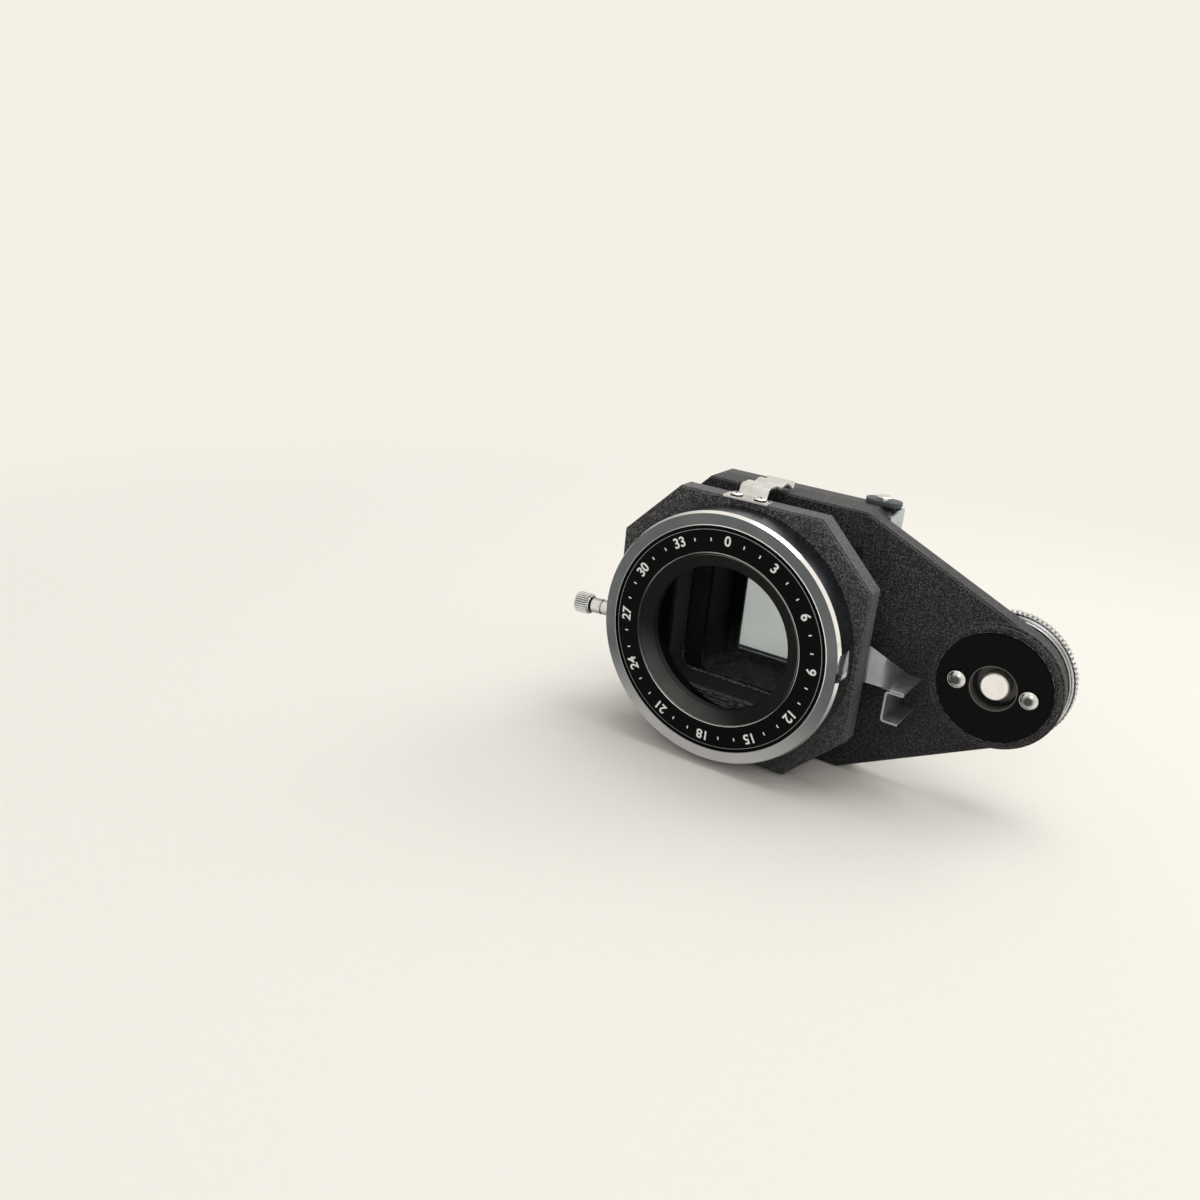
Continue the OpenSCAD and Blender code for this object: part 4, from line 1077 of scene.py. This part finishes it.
@dataclass
class FoldedCatch:
    """The side catch: an upright root, a strip that twists level, and a hemmed hook."""

    root: tuple[float, float] = (29.6, 35.4)
    root_y: float = 15.095
    root_half: float = 4.8
    bend_x: float = 42.9
    hook_y: tuple[float, float] = (12.2, 24.8)
    hook_z: float = -3.7
    sheet: float = 0.5
    lip: float = 2.9
    hem: float = 0.33
    web: float = 7.1
    web_back: float = 0.3
    corner: float = 0.7
    edge: float = 0.09
    foot: float = 3.4
    steps: int = 14

    def build(self, finish: bpy.types.Material) -> None:
        """Makes the catch as one bent sheet.

        Args:
            finish: Its steel.
        """
        deselect()
        lines = self._lines()
        bpy.ops.mesh.primitive_plane_add(size=MM)
        catch = bpy.context.object
        clear_mesh()
        for vertex, place in zip(catch.data.vertices, (*lines[0], *lines[1])):
            vertex.co = place
        last = catch.data.edges[[set(e.vertices) for e in catch.data.edges].index({2, 3})]
        last.select = True
        for end in last.vertices:
            catch.data.vertices[end].select = True
        bpy.ops.object.mode_set(mode="EDIT")
        for line in lines[2:]:
            bpy.ops.mesh.extrude_region_move(TRANSFORM_OT_translate={"value": (MM, 0, 0)})
            bpy.ops.object.mode_set(mode="OBJECT")
            ends = [v for v in catch.data.vertices if v.select]
            for vertex, place in zip(ends, line):
                vertex.co = place
            bpy.ops.object.mode_set(mode="EDIT")
        close_mesh()
        apply_modifier(
            catch, "SOLIDIFY", thickness=self.sheet * MM, offset=0.0, use_even_offset=True
        )
        apply_modifier(catch, "BEVEL", width=self.edge * MM, segments=2, limit_method="ANGLE")
        settle(catch, "folded_catch", finish)
        smooth(catch, 32.0)
        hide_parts("side_catch")
        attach(catch, "front_standard")
        LOG.info("side catch: %d vertices", len(catch.data.vertices))

    def _lines(self) -> list[tuple[Vector, Vector]]:
        """The sheet's cross lines, each from its back end to its front end."""
        front, back = self.hook_y
        lines = [
            (Vector((x, self.root_y, self.root_half)), Vector((x, self.root_y, -self.root_half)))
            for x in self.root
        ]
        level = [Vector((self.bend_x, y, self.hook_z)) for y in (back, front)]
        for step in range(1, self.steps + 1):
            share = step / self.steps
            lines.append(tuple(a.lerp(b, share) for a, b in zip(lines[1], level)))
        for x, z in self._hook():
            lines.append((Vector((x, back, z)), Vector((x, front, z))))
        return [tuple(end * MM for end in line) for line in lines]

    def _hook(self) -> list[tuple[float, float]]:
        """The hook's side view after the strip's level end: crease, lip, hem, web and foot."""
        x, z = self.bend_x, self.hook_z
        path = [(x + 0.12, z), (x + 0.26, z - 0.16), (x + 0.4, z)]
        path += self._arc(x + self.lip, z - self.hem, self.hem, range(90, -91, -30))
        x, z = self.bend_x - self.web_back, z - 2 * self.hem
        path += self._arc(x, z - self.corner, self.corner, range(90, 181, 30))
        path += self._arc(x, z - self.web, self.corner, range(180, 271, 30))
        path.append((x + self.foot, z - self.web - self.corner))
        return path

    def _arc(self, x: float, z: float, radius: float, turns: range) -> list[tuple[float, float]]:
        """Points on an arc about a centre, one for each angle in degrees."""
        angles = [math.radians(turn) for turn in turns]
        return [(x + radius * math.cos(a), z + radius * math.sin(a)) for a in angles]


@dataclass
class ClampThumbScrew:
    """The screw that clamps the adapter: shank, grooved neck and knurled head."""

    angle: float = 183.6
    along: float = 4.4
    ridges: int = 26
    knurl: float = 0.88
    head: tuple[float, float] = (40.7, 45.1)
    head_radius: float = 2.92

    def build(self, finish: bpy.types.Material) -> None:
        """Makes the screw.

        Args:
            finish: Its plating.
        """
        start, end = self.head
        body = turned(
            [
                (1.2, 29.4), (1.2, 33.6), (2.0, 33.7), (2.1, 33.85), (2.1, 36.4), (1.9, 36.5),
                (1.9, 36.9), (2.1, 37.0), (2.1, 39.7), (1.95, 39.85), (1.6, 39.9),
                (1.6, start - 0.3), (2.3, start - 0.25), (2.5, start), (2.5, start + 0.3),
            ]
        )
        radius = self.head_radius
        rims = [(radius - 0.35, start), (radius, start + 0.3)]
        rims += [(radius, end - 0.4), (radius - 0.5, end)]
        head = turned(rims, 2 * self.ridges)
        clear_mesh()
        for vertex in head.data.vertices:
            turn = math.atan2(vertex.co.y, vertex.co.x) / math.pi * self.ridges
            vertex.select = round(turn) % 2 == 1
        bpy.ops.object.mode_set(mode="EDIT")
        bpy.ops.transform.resize(value=(self.knurl, self.knurl, 1))
        bpy.ops.object.mode_set(mode="OBJECT")
        screw = join([body, head])
        way = Vector((math.cos(math.radians(self.angle)), 0, math.sin(math.radians(self.angle))))
        lie = way.to_track_quat("Z", "Y").to_matrix().to_4x4()
        screw.matrix_world = Matrix.Translation((0, self.along * MM, 0)) @ lie
        settle(screw, "clamp_thumb_screw", finish)
        smooth(screw, 30.0)
        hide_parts("clamp_screw")
        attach(screw, "clamp")
        LOG.info("clamp screw: %d vertices", len(screw.data.vertices))


@dataclass
class LatchScrews:
    """Two domed cross-slot screws on the top latch's foot."""

    places: tuple[float, float] = (-4.3, 2.3)
    along: float = 10.55
    foot_top: float = 35.64
    radius: float = 1.65
    turns: tuple[float, float] = (12.0, 38.0)
    slot_reach: float = 1.023
    slot_half: float = 0.2
    slot_floor: float = 0.35

    def build(self, finish: bpy.types.Material) -> None:
        """Makes both screws.

        Args:
            finish: Their plating.
        """
        made = [self._screw(x, turn) for x, turn in zip(self.places, self.turns)]
        screws = settle(join(made), "latch_screw_heads", finish)
        smooth(screws, 28.0)
        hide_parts("latch_screws")
        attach(screws, "front_standard")
        LOG.info("latch screws: %d vertices", len(screws.data.vertices))

    def _screw(self, x: float, turn: float) -> bpy.types.Object:
        """One screw with its cross cut into the dome, turned by an angle in degrees."""
        top, r = self.foot_top, self.radius
        screw = turned(
            [
                (0.75, 32.7), (0.75, top - 0.01), (r, top), (r, top + 0.22), (r * 0.9, top + 0.45),
                (r * 0.7, top + 0.65), (r * 0.4, top + 0.77), (0.1, top + 0.8),
            ],
            40,
        )
        reach, half, floor = self.slot_reach, self.slot_half, top + self.slot_floor
        for x_half, y_half in ((reach, half), (half, reach)):
            cut_with(screw, block((-x_half, -y_half, floor), (x_half, y_half, top + 1.2)))
        place = Matrix.Translation((x * MM, self.along * MM, 0))
        screw.matrix_world = place @ Matrix.Rotation(math.radians(turn), 4, "Z")
        bpy.context.view_layer.update()
        return screw


@dataclass
class LatchSpring:
    """The top latch, copied from the frame's own strip; its foot sits on the board."""

    foot_end: float = 12.1
    bend_end: float = 13.6
    edge: float = 0.06

    def build(self, source: bpy.types.Object, finish: bpy.types.Material) -> None:
        """Makes the spring from the frame's own strip.

        Args:
            source: The frame's latch.
            finish: Its plating.
        """
        deselect()
        spring = source.copy()
        spring.data = source.data.copy()
        bpy.context.scene.collection.objects.link(spring)
        spring.parent = None
        only(spring)
        open_mesh()
        bpy.ops.mesh.remove_doubles(threshold=0.001 * MM)
        bpy.ops.mesh.dissolve_limited(angle_limit=math.radians(1))
        bpy.ops.object.mode_set(mode="OBJECT")
        apply_modifier(spring, "BEVEL", width=self.edge * MM, segments=2, limit_method="ANGLE")
        settle(spring, "latch_spring", finish)
        smooth(spring, 30.0)
        apply_modifier(spring, "WEIGHTED_NORMAL", keep_sharp=True)
        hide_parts("top_latch")
        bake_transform(spring)
        LOG.info("latch spring: %d vertices", len(spring.data.vertices))


@dataclass
class RailScrewTip:
    """The rail screw's faced tip, with its turned edge and the lead of its thread."""

    centre: float = 64.0
    front: float = 24.58
    face_radius: float = 3.2
    radius: float = 3.6

    def build(self, finish: bpy.types.Material) -> None:
        """Makes the tip.

        Args:
            finish: Its steel.
        """
        rings = [(0.1, 0.06), (self.face_radius * 0.5, 0.03), (self.face_radius, 0.0)]
        rings += [(self.radius - 0.12, 0.22), (self.radius, 0.42), (self.radius, 1.6)]
        tip = turned(rings, 64)
        place = Matrix.Translation((self.centre * MM, self.front * MM, 0))
        tip.matrix_world = place @ Matrix.Rotation(math.radians(-90), 4, "X")
        settle(tip, "rail_screw_tip", finish)
        smooth(tip, 25.0)
        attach(tip, "rail_screw_set")
        LOG.info("rail screw tip: %d vertices", len(tip.data.vertices))


@dataclass
class HolderLug:
    """The steel lug on the head's top, with its tail behind the cover, and the lug's screw."""

    centre: tuple[float, float] = (24.7, 37.4)
    length: float = 9.6
    width: float = 5.0
    base: float = 34.83
    thick: float = 1.25
    tail_x: tuple[float, float] = (22.3, 27.3)
    tail_y: tuple[float, float] = (38.85, 40.0)
    tail_low: float = 29.8
    rounding: float = 0.49
    segments: int = 12
    edge: float = 0.14
    screw_radius: float = 1.95
    screw_front: float = 0.3

    def build(self, steel: bpy.types.Material, plating: bpy.types.Material) -> None:
        """Makes the lug and its screw.

        Args:
            steel: The lug's finish.
            plating: The screw's finish.
        """
        x, y = self.centre
        corner = self.width * self.rounding
        plate = rounded_plate(
            self.length * MM, self.width * MM, corner * MM, self.segments, self.thick * MM
        )
        plate.location = (x * MM, y * MM, self.base * MM)
        bpy.context.view_layer.update()
        tail = block(
            (self.tail_x[0], self.tail_y[0], self.tail_low),
            (self.tail_x[1], self.tail_y[1], self.base + self.thick - 0.02),
        )
        lug = join([plate, tail])
        apply_modifier(lug, "BEVEL", width=self.edge * MM, segments=2, limit_method="ANGLE")
        settle(lug, "lug_plate", steel)
        smooth(lug, 30.0)
        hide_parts("holder_lug")
        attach(lug, "head")
        top, r = self.base + self.thick + 0.02, self.screw_radius
        rings = [(1.0, top - 1.0), (1.0, top - 0.01), (r, top), (r, top + 0.75)]
        rings += [(r - 0.25, top + 1.0), (r * 0.5, top + 1.12), (0.1, top + 1.15)]
        screw = turned(rings)
        screw.location = (x * MM, (y - self.screw_front) * MM, 0)
        settle(screw, "lug_screw_head", plating)
        smooth(screw, 30.0)
        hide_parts("lug_screw")
        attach(screw, "head")
        LOG.info("lug: %d vertices, screw: %d", len(lug.data.vertices), len(screw.data.vertices))


@dataclass
class DegreeScale:
    """White figures and strokes round the adapter ring's face."""

    figure_size: float = 3.588 * MM
    figure_bold: float = 0.022
    figure_radius: float = 26.45 * MM
    stroke_inner: float = 26.0 * MM
    stroke_outer: float = 26.9 * MM
    stroke_width: float = 0.34 * MM
    stroke_round: float = 0.45
    proud: float = 0.02 * MM
    step: int = 30
    parts: list[bpy.types.Object] = field(default_factory=list)

    def build(self, paint: bpy.types.Material) -> None:
        """Makes the figures and the strokes.

        Args:
            paint: Their finish.
        """
        for angle in range(0, 360, self.step):
            self.parts.append(self._figure(angle))
        for angle in range(0, 360, self.step // 3):
            if angle % self.step:
                self.parts.append(self._stroke(angle))
        scale = settle(join(self.parts), "degree_scale", paint)
        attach(scale, "front_standard")
        LOG.info("degree scale: %d vertices", len(scale.data.vertices))

    def _onto_face(self, angle: float, radius: float) -> Matrix:
        """Place on the ring's face, with up pointing outwards.

        Args:
            angle: Clockwise from the top, seen from the front, in degrees.
            radius: Distance from the optical axis in metres.

        Returns:
            The matrix from a flat XY shape to the ring's face.
        """
        turn = Matrix.Rotation(math.radians(angle), 4, "Y")
        stand = Matrix.Rotation(math.radians(90), 4, "X")
        return turn @ Matrix.Translation((0, 0, radius)) @ stand

    def _figure(self, angle: int) -> bpy.types.Object:
        """One number, as a mesh on the face."""
        deselect()
        bpy.ops.object.text_add(location=(0, 0, 0))
        text = bpy.context.object
        text.data.body = str(angle // 10)
        text.data.size = self.figure_size
        text.data.align_x = "CENTER"
        text.data.align_y = "CENTER"
        text.data.offset = self.figure_bold * text.data.size
        text.data.extrude = self.proud
        bpy.ops.object.convert(target="MESH")
        text.matrix_world = self._onto_face(angle, self.figure_radius)
        bpy.context.view_layer.update()
        return text

    def _stroke(self, angle: int) -> bpy.types.Object:
        """One short radial stroke, rounded at both ends."""
        length = self.stroke_outer - self.stroke_inner
        stroke = rounded_plate(
            self.stroke_width, length, self.stroke_width * self.stroke_round, 3, self.proud
        )
        stroke.matrix_world = self._onto_face(angle, (self.stroke_inner + self.stroke_outer) / 2)
        bpy.context.view_layer.update()
        return stroke


@dataclass
class PleatedBellows:
    """The cloth bellows between its two frames, closed at rest."""

    folds: int = 4
    cloth: float = 0.4 * MM
    inset: float = 4.3 * MM
    corner: float = 3.2 * MM
    crease: float = 0.16 * MM

    def build(self, finish: bpy.types.Material) -> None:
        """Makes the cloth between the two frames.

        Args:
            finish: The cloth's material.
        """
        low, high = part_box("bellows")
        outer = high.x - self.cloth
        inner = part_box("rear_bellows_frame")[1].x - self.inset
        deselect()
        bpy.ops.mesh.primitive_plane_add(size=2 * inner, rotation=(math.radians(90), 0, 0))
        cloth = bpy.context.object
        cloth.location = (0, low.y + self.cloth / 2, 0)
        bpy.ops.object.transform_apply(location=True, rotation=True)
        open_mesh()
        bpy.ops.mesh.bevel(offset=self.corner, segments=2, affect="VERTICES")
        bpy.ops.mesh.delete(type="ONLY_FACE")
        bpy.ops.mesh.select_all(action="SELECT")
        run = (high.y - low.y - self.cloth) / (2 * self.folds)
        for crease in range(2 * self.folds):
            bpy.ops.mesh.extrude_region_move(TRANSFORM_OT_translate={"value": (0, run, 0)})
            grow = outer / inner if crease % 2 == 0 else inner / outer
            bpy.ops.transform.resize(value=(grow, 1, grow))
        bpy.ops.object.mode_set(mode="OBJECT")
        apply_modifier(cloth, "BEVEL", width=self.crease, segments=2, limit_method="ANGLE")
        apply_modifier(cloth, "SUBSURF", levels=1, render_levels=1, subdivision_type="SIMPLE")
        apply_modifier(cloth, "SOLIDIFY", thickness=self.cloth, offset=0.0)
        settle(cloth, "bellows_folds", finish)
        smooth(cloth)
        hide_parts("bellows")
        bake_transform(cloth)
        LOG.info("bellows: %d vertices", len(cloth.data.vertices))


@dataclass
class FrameFinishes:
    """A finish for every solid of the frame."""

    def dress(self, nodes: dict[str, bpy.types.Object]) -> None:
        """Gives each node its material.

        Args:
            nodes: The frame's objects by name.
        """
        table = self._table()
        for name, node in nodes.items():
            node.data.materials.clear()
            node.data.materials.append(table[name])
        LOG.info("frame finishes: %d nodes", len(nodes))

    def _table(self) -> dict[str, bpy.types.Material]:
        """Builds the finishes and says which node takes which."""
        rows = (
            (RingChrome(), "lens_ring"),
            (AdapterLacquer(), "adapter_ring"),
            (ThumbChrome(), "clamp_screw"),
            (SlottedChrome(), "latch_screws"),
            (OpalGlass(), "opal_glass"),
            (GlossLacquer(), "rail_pad"),
            (PinChrome(), "guide_pins"),
            (ScrewTip(), "rail_screw"),
            (KnobChrome(), "rail_knob"),
            (BellowsCloth(), "bellows"),
            (
                CrinkleEnamel("board_crinkle", (0.02, 0.02, 0.0205), (0.52, 0.516, 0.508)),
                "lens_board",
            ),
            # the arm takes the board's crinkle paint made darker: a painted shade
            (CrinkleEnamel("arm_crinkle_shaded", (0.0085, 0.0085, 0.009), (0.3, 0.3, 0.297)), "arm_plate"),
            (
                SmoothEnamel("cover_enamel", (0.052, 0.055, 0.058), (0.16, 0.165, 0.17), 0.4),
                "rear_cover",
            ),
            (
                SmoothEnamel("satin_black", (0.02, 0.02, 0.021), (0.09, 0.09, 0.09), 0.45),
                "slide_holder diffuser_frame",
            ),
            (SmoothEnamel("lug_steel", (0.085, 0.092, 0.1), (0.3, 0.32, 0.34), 0.4), "holder_lug"),
            (
                SmoothEnamel(
                    "matt_black", (0.008, 0.008, 0.0085), (0.03, 0.03, 0.03), 0.8, 0.03 * MM
                ),
                "ring_nut",
            ),
            (
                RibbedBlack("tunnel_black", (0.0045, 0.0045, 0.0048), (0.12, 0.12, 0.123)),
                "light_sleeve gate_mask",
            ),
            (
                RibbedBlack("ribbed_frame", (0.005, 0.005, 0.0053), (0.3, 0.3, 0.305), 0.9 * MM),
                "front_bellows_frame",
            ),
            (
                RibbedBlack(
                    "gritty_frame",
                    (0.004, 0.004, 0.0042),
                    (0.6, 0.6, 0.6),
                    lines=0.0,
                    grit=0.75 * MM,
                    drag=1.0,
                ),
                "rear_bellows_frame",
            ),
            (
                DrawnSteel("latch_nickel", (0.64, 0.64, 0.63), (0.96, 0.96, 0.95), 0.24),
                "top_latch slide_springs glass_clips door_catch",
            ),
            (DrawnSteel("catch_steel", (0.27, 0.285, 0.3), (0.92, 0.92, 0.92)), "side_catch"),
            (PlatedMetal("dark_steel", (0.1, 0.095, 0.09), 0.4), "screw_clip"),
            (
                PlatedMetal("screw_chrome", (0.75, 0.76, 0.77), 0.16),
                "lug_screw door_pin knob_washer",
            ),
            (
                PlatedMetal("zinc_plate", (0.46, 0.52, 0.55), 0.34, Grain.DRAWN, line=0.2 * MM),
                "gate_channel",
            ),
            (
                PlatedMetal("fixing_steel", (0.46, 0.47, 0.48), 0.32),
                "front_frame_screws rear_frame_screws catch_rivets cover_screws channel_screws "
                "holder_screws spring_rivets catch_screw knob_screw",
            ),
        )
        table = {}
        for finish, names in rows:
            table.update(dict.fromkeys(names.split(), finish.build()))
        return table


# ---------------------------------------------------------------- studio


@dataclass
class Studio:
    """Camera, lamps, surroundings and paper sweep."""

    eye: tuple[float, float, float] = (0.11398, -0.23827, 0.10645)
    aim: tuple[float, float, float] = (-0.49809, 0.7898, -0.35794)
    roll_degrees: float = 5.17
    focal_pixels: float = 1115.2
    image_pixels: float = 1200.0
    centre_pixels: tuple[float, float] = (596.1, 608.8)
    sensor: float = 36.0
    backdrop: Colour = (0.913, 0.871, 0.796)
    ambient: Colour = (0.56, 0.56, 0.56)
    paper_side: float = 6.0

    def build(self) -> None:
        """Makes everything round the object."""
        self._camera()
        self._world()
        self._sweep()
        self._lamp("key", (0.15, 0.1, 0.9), (0.0, 0.02, 0.0), 0.7, 3.5)
        self._lamp("back", (0.4, 0.7, 0.6), (0.02, 0.02, 0.0), 0.5, 2.0)
        self._lamp("fill", (0.35, -1.1, 0.8), (0.02, 0.02, 0.0), 0.7, 1.8)
        LOG.info("studio built")

    def _camera(self) -> None:
        """Camera at the photograph's place, turn and framing."""
        data = bpy.data.cameras.new("camera")
        camera = bpy.data.objects.new("camera", data)
        bpy.context.scene.collection.objects.link(camera)
        look = Vector(self.aim).normalized()
        level = look.to_track_quat("-Z", "Y")
        roll = Quaternion(look, math.radians(-self.roll_degrees))
        camera.rotation_mode = "QUATERNION"
        camera.rotation_quaternion = roll @ level
        camera.location = self.eye
        data.sensor_width = self.sensor
        data.lens = self.sensor * self.focal_pixels / self.image_pixels
        half = self.image_pixels / 2
        data.shift_x = (half - self.centre_pixels[0]) / self.image_pixels
        data.shift_y = (self.centre_pixels[1] - half) / self.image_pixels
        data.clip_start = 0.01
        data.clip_end = 20.0
        bpy.context.scene.camera = camera

    def _world(self) -> None:
        """Pale surroundings for the camera, metal and glass, and a lower level for the light."""
        world = bpy.data.worlds.new("surroundings")
        bpy.context.scene.world = world
        g = Graph(world)
        path = g.node("ShaderNodeLightPath").outputs
        shiny = Signal(g, path["Is Glossy Ray"]).most(Signal(g, path["Is Transmission Ray"]))
        seen = Signal(g, path["Is Camera Ray"]).most(shiny)
        light = g.node("ShaderNodeBackground", inputs={0: (*self.ambient, 1.0)})
        back = g.node("ShaderNodeBackground", inputs={0: (*self.backdrop, 1.0)})
        g.shown(seen, light, back)

    def _sweep(self) -> None:
        """Flat paper that runs under the object and far round it."""
        low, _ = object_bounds()
        deselect()
        bpy.ops.mesh.primitive_plane_add(size=self.paper_side, location=(0, 0, low.z))
        paper = bpy.context.object
        open_mesh()
        bpy.ops.mesh.subdivide(number_cuts=4)
        bpy.ops.object.mode_set(mode="OBJECT")
        settle(paper, "paper_sweep", PaleSweep().build())
        paper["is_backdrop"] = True

    def _lamp(
        self,
        name: str,
        place: tuple[float, float, float],
        target: tuple[float, float, float],
        size: float,
        power: float,
    ) -> None:
        """One square soft lamp.

        Args:
            name: The lamp's name.
            place: Where it stands, in metres.
            target: The point that it faces.
            size: Its side in metres.
            power: Its power in watts.
        """
        data = bpy.data.lights.new(name, "AREA")
        data.size = size
        data.energy = power
        lamp = bpy.data.objects.new(name, data)
        bpy.context.scene.collection.objects.link(lamp)
        lamp.location = place
        lamp.rotation_euler = (Vector(target) - Vector(place)).to_track_quat("-Z", "Y").to_euler()


def main() -> None:
    """Dresses the frame, adds the fine pieces and sets up the studio."""
    logging.basicConfig(level=logging.INFO)
    bpy.ops.object.select_all(action="SELECT")
    bpy.ops.object.delete()
    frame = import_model()
    FrameFinishes().dress(frame["nodes"])
    finishes = bpy.data.materials
    DegreeScale().build(WhitePaint().build())
    PleatedBellows().build(finishes["bellows_cloth"])
    FoldedCatch().build(finishes["catch_steel"])
    ClampThumbScrew().build(finishes["thumb_chrome"])
    LatchSpring().build(frame["nodes"]["top_latch"], finishes["latch_nickel"])
    LatchScrews().build(finishes["slotted_chrome"])
    RailScrewTip().build(finishes["screw_tip_chrome"])
    HolderLug().build(finishes["lug_steel"], finishes["screw_chrome"])
    Studio().build()
    bpy.context.scene.view_settings.view_transform = "Standard"


if __name__ == "__main__":
    main()
